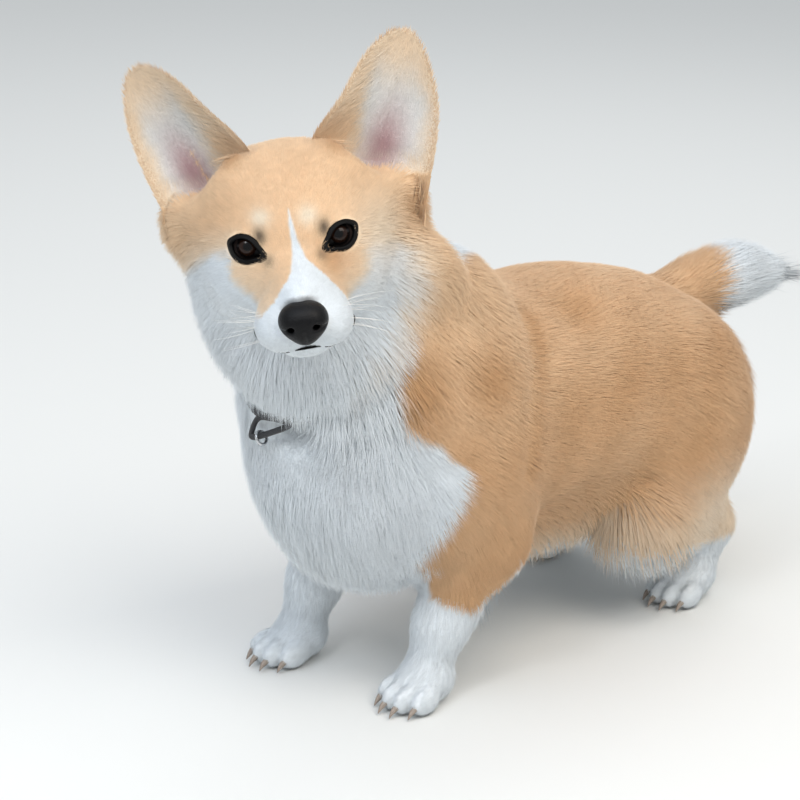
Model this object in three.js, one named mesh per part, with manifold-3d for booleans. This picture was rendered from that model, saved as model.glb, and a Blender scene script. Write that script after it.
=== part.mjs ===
// A life-size Pembroke Welsh corgi: standing low on its hind legs, head turned to its left.
// Millimetres, +Z up. The dog faces -Y and its left side is +X.

import * as THREE from 'three';
import { mergeVertices } from 'three/addons/utils/BufferGeometryUtils.js';
import Module from 'manifold-3d';

const wasm = await Module();
wasm.setup();

// Driving sizes
const gap = 0.3; // left between touching pieces
const soleLevel = 1.5; // the feet are cut flat at this height
const eyeAcross = 61; // from one eye's middle to the other's
const eyeBall = 11.5; // radius of an eyeball
const earLength = 92;
const earHalfWidth = 37;
const coatCore = 8; // how far the long coat's core lies inside its tips

// The head has its own frame: forward, left and up from the point between the eyes
const headAt = new THREE.Vector3(41, -167.5, 373);
const headTurn = 47; // degrees to the dog's left
const headDip = 3; // degrees, nose down
const headLean = 9; // degrees, the left side higher

const degrees = Math.PI / 180;
const headForward = new THREE.Vector3(
  Math.sin(headTurn * degrees) * Math.cos(headDip * degrees),
  -Math.cos(headTurn * degrees) * Math.cos(headDip * degrees),
  -Math.sin(headDip * degrees),
);
const levelLeft = new THREE.Vector3(Math.cos(headTurn * degrees), Math.sin(headTurn * degrees), 0);
const headLeft = levelLeft.clone().applyAxisAngle(headForward, headLean * degrees);
const headUp = new THREE.Vector3().crossVectors(headForward, headLeft);

// A point of the head's frame in the dog's frame
function onHead(forward, left, up) {
  return headAt.clone()
    .addScaledVector(headForward, forward)
    .addScaledVector(headLeft, left)
    .addScaledVector(headUp, up);
}

// A direction of the head's frame in the dog's frame
function headWay(forward, left, up) {
  return onHead(forward, left, up).sub(headAt).normalize();
}

// Forms of the flesh and coat. Each returns a rough distance: below zero is inside.
function ball(at, radii, blend, tilt = 0) {
  const [cx, cy, cz] = at;
  const [rx, ry, rz] = radii;
  const c = Math.cos(tilt * degrees);
  const s = Math.sin(tilt * degrees);
  const distance = (x, y, z) => {
    const px = (x - cx) / rx;
    const py = (c * (y - cy) + s * (z - cz)) / ry;
    const pz = (c * (z - cz) - s * (y - cy)) / rz;
    const reach = Math.hypot(px, py, pz);
    const slope = Math.hypot(px / rx, py / ry, pz / rz) + 1e-9;
    return (reach * (reach - 1)) / slope;
  };
  return { distance, blend };
}

function bone(from, to, fromRadius, toRadius, blend) {
  const [ax, ay, az] = from;
  const bx = to[0] - ax;
  const by = to[1] - ay;
  const bz = to[2] - az;
  const lengthSquared = bx * bx + by * by + bz * bz;
  const distance = (x, y, z) => {
    const along = ((x - ax) * bx + (y - ay) * by + (z - az) * bz) / lengthSquared;
    const t = Math.min(1, Math.max(0, along));
    const away = Math.hypot(x - ax - t * bx, y - ay - t * by, z - az - t * bz);
    return away - fromRadius - t * (toRadius - fromRadius);
  };
  return { distance, blend };
}

function blended(first, second, blend) {
  const share = Math.max(blend - Math.abs(first - second), 0) / blend;
  return Math.min(first, second) - share * share * blend * 0.25;
}

function joined(forms) {
  return (x, y, z) => {
    let value = forms[0].distance(x, y, z);
    for (let i = 1; i < forms.length; i += 1) {
      value = blended(value, forms[i].distance(x, y, z), forms[i].blend);
    }
    return value;
  };
}

const bothSides = [1, -1];

// The radii of a form that carries locks: its core lies inside their tips
const cored = (radii) => radii.map((radius) => radius - coatCore);

// Trunk
const trunkForms = [
  ball([0, 120, 186], [104, 120, 105], 40),
  ball([0, 15, 190], [94, 108, 112], 50),
  ball([-6, -64, 180], cored([92, 76, 104]), 40, 8),
  ball([0, 195, 184], [96, 100, 96], 50),
  ball([0, 262, 180], [88, 76, 80], 50, -12),
  ball([2, -44, 262], [66, 74, 76], 50, -35),
  ball([0, -8, 262], [58, 74, 46], 50),
];
for (const side of bothSides) {
  trunkForms.push(ball([66 * side, -12, 190], [40, 58, 86], 40));
  trunkForms.push(ball([64 * side, 243, 142], [46, 76, 86], 45, -10));
  trunkForms.push(ball([44 * side, 294, 156], cored([50, 50, 84]), 40));
}

// A foot: the pad and four toes, its middle one pair longer
function footForms(at, side) {
  const [x, y] = at;
  const forms = [ball([x, y, 17], [22, 27, 17], 12)];
  const toeStep = 11.5;
  const toes = [-1.5, -0.5, 0.5, 1.5];
  for (const place of toes) {
    const outward = place * toeStep;
    const reach = Math.abs(place) < 1 ? 26 : 18;
    forms.push(ball([x + outward + 1.5 * side, y - reach, 12], [7.5, 15, 11.5], 5));
  }
  return forms;
}

// Forelegs: the far one is set a little further forward
const forelegs = [
  { side: 1, shoulder: [66, -14, 172], elbow: [76, 0, 120], wrist: [62, -28, 60], foot: [62, -46] },
  { side: -1, shoulder: [-66, -14, 172], elbow: [-74, -6, 120], wrist: [-62, -40, 60], foot: [-62, -58] },
];
const legForms = [];
for (const leg of forelegs) {
  const ankle = [leg.foot[0], leg.foot[1] + 6, 32];
  legForms.push(bone(leg.shoulder, leg.elbow, 40, 30, 30));
  legForms.push(bone(leg.elbow, leg.wrist, 30, 22, 24));
  legForms.push(bone(leg.wrist, ankle, 21, 18, 14));
  legForms.push(...footForms(leg.foot, leg.side));
}

// Hind legs, well bent so that the rump is low
const hindLegs = bothSides.map((side) => ({
  side,
  hip: [58 * side, 252, 150],
  knee: [82 * side, 195, 92],
  hock: [72 * side, 296, 60],
  foot: [74 * side, 264],
}));
for (const leg of hindLegs) {
  const instep = [leg.foot[0], leg.foot[1] + 14, 28];
  legForms.push(bone(leg.hip, leg.knee, 50, 36, 35));
  legForms.push(bone(leg.knee, leg.hock, 33, 20, 25));
  legForms.push(bone(leg.hock, instep, 19, 17, 16));
  legForms.push(...footForms(leg.foot, leg.side));
}

// Tail: carried out behind, curving to the dog's left
const tailPath = [
  { at: [0, 278, 212], radius: 34 },
  { at: [5, 312, 232], radius: 32 },
  { at: [13, 345, 248], radius: 30 },
  { at: [25, 378, 254], radius: 28 },
  { at: [38, 408, 250], radius: 20 },
];
const tailForms = [];
for (let i = 1; i < tailPath.length; i += 1) {
  const from = tailPath[i - 1];
  const to = tailPath[i];
  tailForms.push(bone(from.at, to.at, from.radius - coatCore, to.radius - coatCore, 22));
}

// Head, in the head's frame: forward, left, up
const skullForms = [
  ball([-50, 0, 12], [54, 55, 48], 20),
  ball([-16, 0, 6], [24, 38, 20], 20),
  ball([20, 0, -34], [46, 29, 25], 30),
  ball([30, 0, -19], [42, 14, 12], 14),
];
for (const side of bothSides) {
  skullForms.push(ball([-58, 45 * side, 2], [34, 33, 34], 25));
  skullForms.push(ball([-80, 66 * side, 6], [22, 25, 36], 25));
  skullForms.push(ball([-34, 34 * side, -28], [44, 33, 36], 30));
  skullForms.push(ball([50, 13 * side, -40], [23, 18, 16], 14));
}
const ruffForms = [
  ball([-60, 52, -44], cored([38, 44, 56]), 22),
  ball([-58, -46, -52], cored([38, 42, 60]), 22),
  ball([-50, -4, -88], cored([44, 62, 46]), 30),
  ball([-92, 6, -22], [38, 52, 50], 30),
];
const jawForms = [
  ball([18, 0, -58], [44, 19, 13], 10),
  ball([48, 0, -58], [17, 14, 10], 8),
];
const noseForms = [
  ball([70, 0, -27], [13, 14, 12], 9),
  ball([70, 9, -29], [11, 9, 10], 9),
  ball([70, -9, -29], [11, 9, 10], 9),
  ball([70, 0, -37], [10, 9, 9], 9),
];

// The neck's column runs from the withers to behind the skull
const neckEnd = onHead(-88, 4, -50).toArray();
const neckForms = [bone([0, -40, 250], neckEnd, 68, 58, 40)];

const bodyValue = joined([...trunkForms, ...legForms, ...tailForms, ...neckForms]);
const headValue = joined([...skullForms, ...jawForms, ...ruffForms]);
const noseValue = joined(noseForms);
const headJoin = 35; // the head runs into the neck over this much

// The whole outline at a point of the dog's frame
function outline(x, y, z) {
  const dx = x - headAt.x;
  const dy = y - headAt.y;
  const dz = z - headAt.z;
  const forward = dx * headForward.x + dy * headForward.y + dz * headForward.z;
  const left = dx * headLeft.x + dy * headLeft.y + dz * headLeft.z;
  const up = dx * headUp.x + dy * headUp.y + dz * headUp.z;
  return blended(bodyValue(x, y, z), headValue(forward, left, up), headJoin);
}

// Which way the outline faces at a point, and the nearest point on it
function facing(at) {
  const step = 1;
  const along = (x, y, z) => outline(at.x + x, at.y + y, at.z + z) - outline(at.x - x, at.y - y, at.z - z);
  return new THREE.Vector3(along(step, 0, 0), along(0, step, 0), along(0, 0, step)).normalize();
}
function onOutline(start) {
  const at = start.clone();
  for (let n = 0; n < 12; n += 1) at.addScaledVector(facing(at), -0.8 * outline(at.x, at.y, at.z));
  return at;
}

// The outline in the head's frame, with or without the lower jaw
function headOutline(inner) {
  return (forward, left, up) => {
    const at = onHead(forward, left, up);
    return blended(bodyValue(at.x, at.y, at.z), inner(forward, left, up), headJoin);
  };
}

// Closed surface of a value below zero inside a box, from a grid of cells
function surface(value, low, high, cell) {
  const count = [0, 1, 2].map((i) => Math.ceil((high[i] - low[i]) / cell) + 1);
  const [nx, ny, nz] = count;
  const spot = (i, j, k) => (i * ny + j) * nz + k;
  const values = new Float64Array(nx * ny * nz);
  for (let i = 0; i < nx; i += 1) {
    for (let j = 0; j < ny; j += 1) {
      for (let k = 0; k < nz; k += 1) {
        const edge = i === 0 || j === 0 || k === 0 || i === nx - 1 || j === ny - 1 || k === nz - 1;
        const found = value(low[0] + i * cell, low[1] + j * cell, low[2] + k * cell);
        values[spot(i, j, k)] = edge ? Math.max(found, 0.3 * cell) : found;
      }
    }
  }
  const corners = [];
  for (let n = 0; n < 8; n += 1) corners.push([n & 1, (n >> 1) & 1, (n >> 2) & 1]);
  const vertexOf = new Int32Array(nx * ny * nz).fill(-1);
  const positions = [];
  for (let i = 0; i < nx - 1; i += 1) {
    for (let j = 0; j < ny - 1; j += 1) {
      for (let k = 0; k < nz - 1; k += 1) {
        const sum = [0, 0, 0];
        let crossings = 0;
        for (const [a, b, c] of corners) {
          const here = values[spot(i + a, j + b, k + c)];
          for (let axis = 0; axis < 3; axis += 1) {
            const step = [a, b, c];
            if (step[axis] === 1) continue;
            step[axis] = 1;
            const there = values[spot(i + step[0], j + step[1], k + step[2])];
            if (here < 0 === there < 0) continue;
            const t = here / (here - there);
            sum[0] += a + (axis === 0 ? t : 0);
            sum[1] += b + (axis === 1 ? t : 0);
            sum[2] += c + (axis === 2 ? t : 0);
            crossings += 1;
          }
        }
        if (crossings === 0) continue;
        vertexOf[spot(i, j, k)] = positions.length / 3;
        positions.push(low[0] + (i + sum[0] / crossings) * cell);
        positions.push(low[1] + (j + sum[1] / crossings) * cell);
        positions.push(low[2] + (k + sum[2] / crossings) * cell);
      }
    }
  }
  const index = [];
  const far = (p, q) => Math.hypot(
    positions[3 * p] - positions[3 * q],
    positions[3 * p + 1] - positions[3 * q + 1],
    positions[3 * p + 2] - positions[3 * q + 2],
  );
  const addFace = (a, b, c, d) => {
    if (far(a, c) < far(b, d)) index.push(a, b, c, a, c, d);
    else index.push(b, c, d, b, d, a);
  };
  for (let i = 0; i < nx - 1; i += 1) {
    for (let j = 0; j < ny - 1; j += 1) {
      for (let k = 0; k < nz - 1; k += 1) {
        const inside = values[spot(i, j, k)] < 0;
        const ahead = [[i + 1, j, k], [i, j + 1, k], [i, j, k + 1]];
        for (let axis = 0; axis < 3; axis += 1) {
          if (inside === values[spot(...ahead[axis])] < 0) continue;
          const back = (first, second) => {
            const cellAt = [i, j, k];
            cellAt[(axis + 1) % 3] -= first;
            cellAt[(axis + 2) % 3] -= second;
            return vertexOf[spot(...cellAt)];
          };
          const ring = [back(0, 0), back(1, 0), back(1, 1), back(0, 1)];
          if (!inside) ring.reverse();
          addFace(...ring);
        }
      }
    }
  }
  const geometry = new THREE.BufferGeometry();
  geometry.setAttribute('position', new THREE.Float32BufferAttribute(positions, 3));
  geometry.setIndex(index);
  return geometry;
}

// Between meshes and solids
function solidOf(geometry) {
  const bare = geometry.clone();
  bare.deleteAttribute('normal');
  bare.deleteAttribute('uv');
  const merged = mergeVertices(bare, 1e-4);
  return new wasm.Manifold(new wasm.Mesh({
    numProp: 3,
    vertProperties: new Float32Array(merged.attributes.position.array),
    triVerts: new Uint32Array(merged.index.array),
  }));
}

function geometryOf(solid) {
  const mesh = solid.getMesh();
  const geometry = new THREE.BufferGeometry();
  geometry.setAttribute('position', new THREE.BufferAttribute(mesh.vertProperties, 3));
  geometry.setIndex(new THREE.BufferAttribute(mesh.triVerts, 1));
  return geometry;
}

function largest(solid) {
  return solid.decompose().sort((a, b) => b.volume() - a.volume())[0];
}

// A box that starts just short of a plane, for cutting everything beyond it away
function beyond(point, way, clear = gap / 2) {
  const size = 1600;
  const box = new THREE.BoxGeometry(size, size, size);
  box.translate(0, 0, size / 2 - clear);
  const turn = new THREE.Quaternion().setFromUnitVectors(new THREE.Vector3(0, 0, 1), way);
  box.applyQuaternion(turn);
  box.translate(point.x, point.y, point.z);
  return solidOf(box);
}

// Both sides of a plane: cut(solid, 1) keeps what lies ahead of it, cut(solid, -1) what lies behind
function planeCut(point, way) {
  return (solid, keep) => solid.subtract(beyond(point, way.clone().multiplyScalar(-keep)));
}

// A prism whose outline is drawn in two axes and that runs along the third
function prism(points, along, low, high, grow) {
  const middle = [0, 1].map((i) => points.reduce((sum, p) => sum + p[i], 0) / points.length);
  const shape = new THREE.Shape();
  points.forEach(([a, b], n) => {
    const length = Math.hypot(a - middle[0], b - middle[1]);
    const scale = 1 + (grow * 1.5) / length;
    const u = middle[0] + (a - middle[0]) * scale;
    const v = middle[1] + (b - middle[1]) * scale;
    if (n === 0) shape.moveTo(u, v);
    else shape.lineTo(u, v);
  });
  const geometry = new THREE.ExtrudeGeometry(shape, { depth: high - low + 2 * grow, bevelEnabled: false });
  geometry.translate(0, 0, low - grow);
  if (along === 'y') {
    geometry.rotateX(Math.PI / 2);
    geometry.scale(1, -1, 1);
    geometry.index = null;
    flip(geometry);
  }
  if (along === 'x') {
    geometry.rotateX(Math.PI / 2);
    geometry.rotateZ(Math.PI / 2);
  }
  return solidOf(geometry);
}

// Turns every triangle round
function flip(geometry) {
  const place = geometry.attributes.position;
  for (let i = 0; i < place.count; i += 3) {
    const held = [place.getX(i + 1), place.getY(i + 1), place.getZ(i + 1)];
    place.setXYZ(i + 1, place.getX(i + 2), place.getY(i + 2), place.getZ(i + 2));
    place.setXYZ(i + 2, ...held);
  }
}

// A mesh made in the head's frame, moved to the dog's
const headMatrix = new THREE.Matrix4().makeBasis(headForward, headLeft, headUp).setPosition(headAt);
function placedOnHead(geometry) {
  return geometry.clone().applyMatrix4(headMatrix);
}

// Planes that part the body
const neckPlane = { at: onHead(-80, 0, -8), way: headWay(0.88, 0, 0.474) };
const neckCut = planeCut(neckPlane.at, neckPlane.way);
const chestPlane = { at: new THREE.Vector3(0, -60, 258), way: new THREE.Vector3(0, -0.547, 0.837).normalize() };
const chestCut = planeCut(chestPlane.at, chestPlane.way);
const middleCut = planeCut(new THREE.Vector3(0, 78, 0), new THREE.Vector3(0, -1, 0));
const rearCut = planeCut(new THREE.Vector3(0, 178, 0), new THREE.Vector3(0, -1, 0));
const tailCut = planeCut(new THREE.Vector3(16, 352, 248), new THREE.Vector3(0.3, 0.95, 0.08).normalize());
const up = new THREE.Vector3(0, 0, 1);
const groundCut = planeCut(new THREE.Vector3(0, 0, soleLevel), up);

// Leg regions are drawn in X and Z as a front view, the tail's in Y and Z as a side view
function legRegion(side, inner, innerTop, outerTop, front, back, grow) {
  const outer = 150;
  const points = [[inner, -10], [outer, -10], [outer, outerTop], [inner, innerTop]];
  const sided = points.map(([x, z]) => [x * side, z]);
  if (side < 0) sided.reverse();
  return prism(sided, 'y', front, back, grow);
}
const foreRegion = (side, grow) => legRegion(side, 30, 86, 160, -120, 62, grow);
const hindRegion = (side, grow) => legRegion(side, 36, 96, 176, 140, 345, grow);
function tailRegion(grow) {
  return prism([[316, 184], [560, 184], [560, 330], [292, 330]], 'x', -42, 110, grow);
}

const skinTones = {
  fawn: new THREE.MeshStandardMaterial({ color: 0xd2a679, roughness: 0.9, metalness: 0 }),
  white: new THREE.MeshStandardMaterial({ color: 0xf1ede6, roughness: 0.9, metalness: 0 }),
};
const finishes = {
  nose: { color: 0x17161a, roughness: 0.4, metalness: 0 },
  eye: { color: 0x2b170e, roughness: 0.08, metalness: 0 },
  webbing: { color: 0x15161a, roughness: 0.75, metalness: 0 },
  steel: { color: 0xbcc0c4, roughness: 0.25, metalness: 1 },
};

const dog = new THREE.Group();
dog.name = 'pembroke_welsh_corgi';
const standing = new THREE.Group();
dog.add(standing);

function addNode(name, solid, finish) {
  const material = skinTones[finish]?.clone() ?? new THREE.MeshStandardMaterial(finishes[finish]);
  const mesh = new THREE.Mesh(geometryOf(largest(solid)), material);
  mesh.geometry.computeVertexNormals();
  mesh.name = name;
  standing.add(mesh);
}

// Long coat: flat, tapered locks that follow the outline, each with its root sunk into the core.
// A small generator with a fixed seed varies them.
let draw = 20261;
function vary(low, high) {
  draw = (draw * 48271) % 2147483647;
  return low + ((high - low) * draw) / 2147483647;
}

// Evenly spread values between two ends, both included
function spread(low, high, count) {
  return Array.from({ length: count }, (_, n) => low + ((high - low) * n) / Math.max(count - 1, 1));
}

// The stations of a lock: how far along, how high over the core, how wide and how thick, as shares
const lockStations = [
  { along: 0, height: 0, width: 0.8, thickness: 1.2 },
  { along: 0.42, height: 0.48, width: 1, thickness: 1 },
  { along: 0.76, height: 0.82, width: 0.7, thickness: 0.7 },
  { along: 1, height: 1, width: 0, thickness: 0 },
];
const lockSunk = 7; // the root's depth in the core
const lockThickness = 5.5;

function growLock(start, way, size) {
  const at = onOutline(start);
  const rootOut = facing(at);
  const lie = way.clone().addScaledVector(rootOut, -way.dot(rootOut)).normalize();
  lie.applyAxisAngle(rootOut, vary(-0.14, 0.14));
  const length = size.length * vary(0.88, 1.12);
  const rise = size.rise * vary(0.85, 1.2);
  let passed = 0;
  const stations = lockStations.map((station) => {
    at.addScaledVector(lie, (station.along - passed) * length);
    passed = station.along;
    const out = facing(at);
    const hug = station.along > 0.5 ? size.hug ?? 0.6 : 1;
    at.addScaledVector(out, -hug * outline(at.x, at.y, at.z));
    const height = (rise + lockSunk) * station.height - lockSunk;
    return {
      spot: at.clone().addScaledVector(out, height),
      out,
      width: station.width * size.width,
      thickness: station.thickness * lockThickness,
    };
  });
  return { stations, lie };
}

// A lock as a solid, flat below and ridged above, that ends in a point. It can be grown all round,
// for cutting other pieces clear of it.
function lockSolid({ stations, lie }, grow) {
  const positions = [];
  const index = [];
  const last = stations.length - 1;
  const heading = (ring) => stations[ring + 1].spot.clone().sub(stations[ring].spot).normalize();
  stations.forEach(({ spot, out, width, thickness }, ring) => {
    if (ring === last) {
      positions.push(...spot.clone().addScaledVector(heading(last - 1), 2 * grow).toArray());
      return;
    }
    const back = ring === 0 ? heading(0).multiplyScalar(-2 * grow) : new THREE.Vector3();
    const side = new THREE.Vector3().crossVectors(lie, out).normalize();
    const upright = new THREE.Vector3().crossVectors(side, lie).normalize();
    const halfWidth = width / 2 + 3 * grow;
    const halfThickness = thickness / 2 + grow;
    for (const [a, b] of [[halfWidth, -halfThickness], [0, halfThickness], [-halfWidth, -halfThickness]]) {
      const corner = spot.clone().addScaledVector(side, a).addScaledVector(upright, b);
      positions.push(...corner.add(back).toArray());
    }
    for (let corner = 0; corner < 3; corner += 1) {
      const here = 3 * ring + corner;
      const next = 3 * ring + ((corner + 1) % 3);
      if (ring === last - 1) index.push(here, 3 * last, next);
      else index.push(here, here + 3, next + 3, here, next + 3, next);
    }
  });
  index.push(0, 1, 2);
  const geometry = new THREE.BufferGeometry();
  geometry.setAttribute('position', new THREE.Float32BufferAttribute(positions, 3));
  geometry.setIndex(index);
  return solidOf(geometry);
}

// Joins a piece's locks to its core and cuts it clear of the locks laid over it before
const laidBefore = [];
function coated(core, locks) {
  let solid = core;
  for (const one of locks) solid = solid.add(lockSolid(one, 0));
  for (const earlier of laidBefore) solid = solid.subtract(earlier);
  if (locks.length > 0) laidBefore.push(locks.map((one) => lockSolid(one, gap * 2)).reduce((a, b) => a.add(b)));
  return solid;
}

// Head
const headBox = { low: [-150, -125, -150], high: [96, 125, 84] };
const headCell = 11.5;
const headFlesh = solidOf(placedOnHead(surface(headOutline(headValue), headBox.low, headBox.high, headCell)));
const headGrown = solidOf(placedOnHead(surface(
  headOutline((f, l, u) => headValue(f, l, u) - gap * 2.5),
  headBox.low,
  headBox.high,
  headCell,
)));

// Nose leather, with its nostrils and the slits that run out from them
const noseBack = 63;
const noseCell = 5.3;
const noseFlesh = solidOf(placedOnHead(surface(noseValue, [50, -24, -52], [90, 24, -8], noseCell)));
const noseFront = beyond(onHead(noseBack, 0, -30), headWay(-1, 0, 0.12));
let nose = noseFlesh.subtract(noseFront);
function rod(from, to, radius) {
  const length = from.distanceTo(to);
  const geometry = new THREE.CylinderGeometry(radius, radius, length, 8);
  geometry.rotateX(Math.PI / 2);
  geometry.translate(0, 0, length / 2);
  const way = to.clone().sub(from).normalize();
  geometry.applyQuaternion(new THREE.Quaternion().setFromUnitVectors(new THREE.Vector3(0, 0, 1), way));
  geometry.translate(from.x, from.y, from.z);
  return solidOf(geometry);
}
for (const side of bothSides) {
  nose = nose.subtract(rod(onHead(88, 5.5 * side, -29), onHead(70, 9 * side, -29), 3));
  nose = nose.subtract(rod(onHead(84, 9 * side, -32), onHead(70, 20 * side, -36), 1.3));
}

// Eyes, their sockets and lids
function sphereAt(at, radius, around, down) {
  const geometry = new THREE.SphereGeometry(radius, around, down);
  geometry.translate(at.x, at.y, at.z);
  return solidOf(geometry);
}
function lidOpening(at, way) {
  const halfLength = 11;
  const halfHeight = 8.6;
  const shape = new THREE.Shape();
  shape.moveTo(-halfLength, 0);
  shape.quadraticCurveTo(-halfLength * 0.4, -halfHeight * 1.5, halfLength * 0.3, -halfHeight);
  shape.quadraticCurveTo(halfLength * 0.9, -halfHeight * 0.6, halfLength, 0);
  shape.quadraticCurveTo(halfLength * 0.8, halfHeight, 0, halfHeight);
  shape.quadraticCurveTo(-halfLength * 0.8, halfHeight * 0.9, -halfLength, 0);
  const geometry = new THREE.ExtrudeGeometry(shape, { depth: 24, bevelEnabled: false, curveSegments: 5 });
  const across = new THREE.Vector3().crossVectors(headUp, way).normalize();
  const upright = new THREE.Vector3().crossVectors(way, across);
  geometry.applyMatrix4(new THREE.Matrix4().makeBasis(across, upright, way).setPosition(at));
  return solidOf(geometry);
}
const lidThickness = 1.9;
let head = headFlesh;
const eyes = bothSides.map((side) => {
  const at = onHead(-4.5, (eyeAcross / 2) * side, 1);
  const way = headWay(1, 0.3 * side, 0.05);
  head = head.add(sphereAt(at, eyeBall + lidThickness, 14, 8));
  head = head.subtract(lidOpening(at, way));
  head = head.subtract(sphereAt(at, eyeBall + gap, 14, 8));
  return { side, solid: sphereAt(at, eyeBall, 14, 8) };
});

// The mouth's line parts the lower jaw from the head, well under the upper lip
function mouthRegion(grow) {
  const box = new THREE.BoxGeometry(90 + 2 * grow, 60 + 2 * grow, 40 + 2 * grow);
  box.rotateY(-2 * degrees);
  box.translate(14 + 45, 0, -54 - 20);
  return solidOf(placedOnHead(box));
}
const lipGap = 0.9;
const jaw = headFlesh.intersect(mouthRegion(0));
head = head.subtract(mouthRegion(lipGap));
head = head.subtract(beyond(onHead(noseBack, 0, -30), headWay(1, 0, -0.12)));

// Ears: cupped shells, a little thicker at the root
const earRows = 9;
const earColumns = 6;
function earShell(side) {
  const root = new THREE.Vector3(-50, side > 0 ? 56 : -53, 22);
  const tip = new THREE.Vector3(-58, side > 0 ? 95 : -90, 30 + earLength);
  const axis = tip.clone().sub(root).normalize();
  const length = tip.distanceTo(root);
  const outward = new THREE.Vector3(side > 0 ? -0.05 : -0.25, side, 0);
  outward.addScaledVector(axis, -outward.dot(axis)).normalize();
  const front = new THREE.Vector3().crossVectors(outward, axis).multiplyScalar(side).normalize();
  const at = (row, column, face) => {
    const u = row / earRows;
    const v = (2 * column) / earColumns - 1;
    const narrow = 0.68 + 0.32 * Math.sin(Math.min(u / 0.34, 1) * 90 * degrees);
    const width = earHalfWidth * Math.sqrt(1 - Math.pow(Math.min(u, 0.985), 2.6)) * (1 - 0.1 * u) * narrow;
    const cup = 17 * (1 - 0.75 * u);
    const thickness = (5.5 - 2.5 * u) * (1 - 0.55 * v * v);
    return root.clone()
      .addScaledVector(axis, u * length)
      .addScaledVector(outward, width * v)
      .addScaledVector(front, -cup * (1 - v * v) * (width / earHalfWidth) + (face * thickness) / 2);
  };
  const positions = [];
  const index = [];
  const stride = earColumns + 1;
  const sheet = (earRows + 1) * stride;
  for (const face of [1, -1]) {
    for (let row = 0; row <= earRows; row += 1) {
      for (let column = 0; column <= earColumns; column += 1) {
        positions.push(...at(row, column, face).toArray());
      }
    }
  }
  const quad = (a, b, c, d) => index.push(a, b, c, a, c, d);
  for (let row = 0; row < earRows; row += 1) {
    for (let column = 0; column < earColumns; column += 1) {
      const a = row * stride + column;
      quad(a, a + 1, a + stride + 1, a + stride);
      quad(sheet + a, sheet + a + stride, sheet + a + stride + 1, sheet + a + 1);
    }
    const left = row * stride;
    const right = left + earColumns;
    quad(left, left + stride, sheet + left + stride, sheet + left);
    quad(right + stride, right, sheet + right, sheet + right + stride);
  }
  const top = earRows * stride;
  for (let column = 0; column < earColumns; column += 1) {
    quad(column + 1, column, sheet + column, sheet + column + 1);
    quad(top + column, top + column + 1, sheet + top + column + 1, sheet + top + column);
  }
  const geometry = new THREE.BufferGeometry();
  geometry.setAttribute('position', new THREE.Float32BufferAttribute(positions, 3));
  geometry.setIndex(side > 0 ? index : index.reverse());
  return solidOf(placedOnHead(geometry));
}

// The ruff hangs from the cheeks and the throat in three rows, back and down over the neck.
// Locks whose roots lie behind the cut between head and neck belong to the neck.
const ruffMiddle = -46; // the height that its rows turn about
const ruffRows = [
  { forward: -14, reach: 56, turn: 74, count: 6, length: 40, width: 32, rise: 6 },
  { forward: -38, reach: 72, turn: 98, count: 9, length: 48, width: 34, rise: 9 },
  { forward: -62, reach: 80, turn: 104, count: 9, length: 46, width: 38, rise: 12 },
];
const ruffMargin = 11; // a lock of the head is rooted at least this far ahead of the cut
const ruffLocks = [];
const throatLocks = [];
for (const row of ruffRows) {
  for (const turn of spread(-row.turn, row.turn, row.count)) {
    const across = Math.sin((turn + vary(-2, 2)) * degrees);
    const down = Math.cos(turn * degrees);
    const start = onHead(row.forward + vary(-3, 3), row.reach * across, ruffMiddle - row.reach * down);
    const owner = start.clone().sub(neckPlane.at).dot(neckPlane.way) > ruffMargin ? ruffLocks : throatLocks;
    owner.push(growLock(start, headWay(-0.55, 0.45 * across, -0.7 * down - 0.3), row));
  }
}

// Trunk and neck
const trunkCell = 25;
const trunk = solidOf(surface(outline, [-160, -260, 20], [180, 380, 440], trunkCell));
let rump = rearCut(trunk, -1).subtract(tailRegion(gap));
let middle = middleCut(rearCut(trunk, 1), -1);
let chest = chestCut(middleCut(trunk, 1), -1);
for (const side of bothSides) {
  rump = rump.subtract(hindRegion(side, 1.5 * gap));
  middle = middle.subtract(hindRegion(side, 1.5 * gap));
  chest = chest.subtract(foreRegion(side, 1.5 * gap));
}

// Collar: a narrow band that lies round the neck's root
const collarAt = chestPlane.at.clone().addScaledVector(chestPlane.way, 10);
const collarWay = chestPlane.way;
const collarSteps = 22;
const collarWidth = 10;
const collarAcross = new THREE.Vector3(1, 0, 0);
const collarFront = new THREE.Vector3().crossVectors(collarAcross, collarWay);

// Where a ray in the collar's plane leaves the neck; a turn of 0 looks to the dog's left
function collarReach(turn) {
  const way = collarAcross.clone().multiplyScalar(Math.cos(turn)).addScaledVector(collarFront, Math.sin(turn));
  let reach = 20;
  const at = collarAt.clone().addScaledVector(way, reach);
  while (outline(at.x, at.y, at.z) < 0 && reach < 180) {
    reach += 0.5;
    at.copy(collarAt).addScaledVector(way, reach);
  }
  return { way, reach };
}

function collarBand(inner, outer, width) {
  const positions = [];
  const index = [];
  for (let n = 0; n < collarSteps; n += 1) {
    const { way, reach } = collarReach((2 * Math.PI * n) / collarSteps);
    for (const [radius, height] of [[inner, -1], [outer, -1], [outer, 1], [inner, 1]]) {
      const spot = collarAt.clone().addScaledVector(way, reach + radius);
      spot.addScaledVector(collarWay, (height * width) / 2);
      positions.push(...spot.toArray());
    }
    const here = 4 * n;
    const next = 4 * ((n + 1) % collarSteps);
    for (let corner = 0; corner < 4; corner += 1) {
      const other = (corner + 1) % 4;
      index.push(here + corner, here + other, next + other);
      index.push(here + corner, next + other, next + corner);
    }
  }
  const geometry = new THREE.BufferGeometry();
  geometry.setAttribute('position', new THREE.Float32BufferAttribute(positions, 3));
  geometry.setIndex(index);
  return solidOf(geometry);
}
const collarSunk = -1.5;
const collarProud = 1.8;
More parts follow.
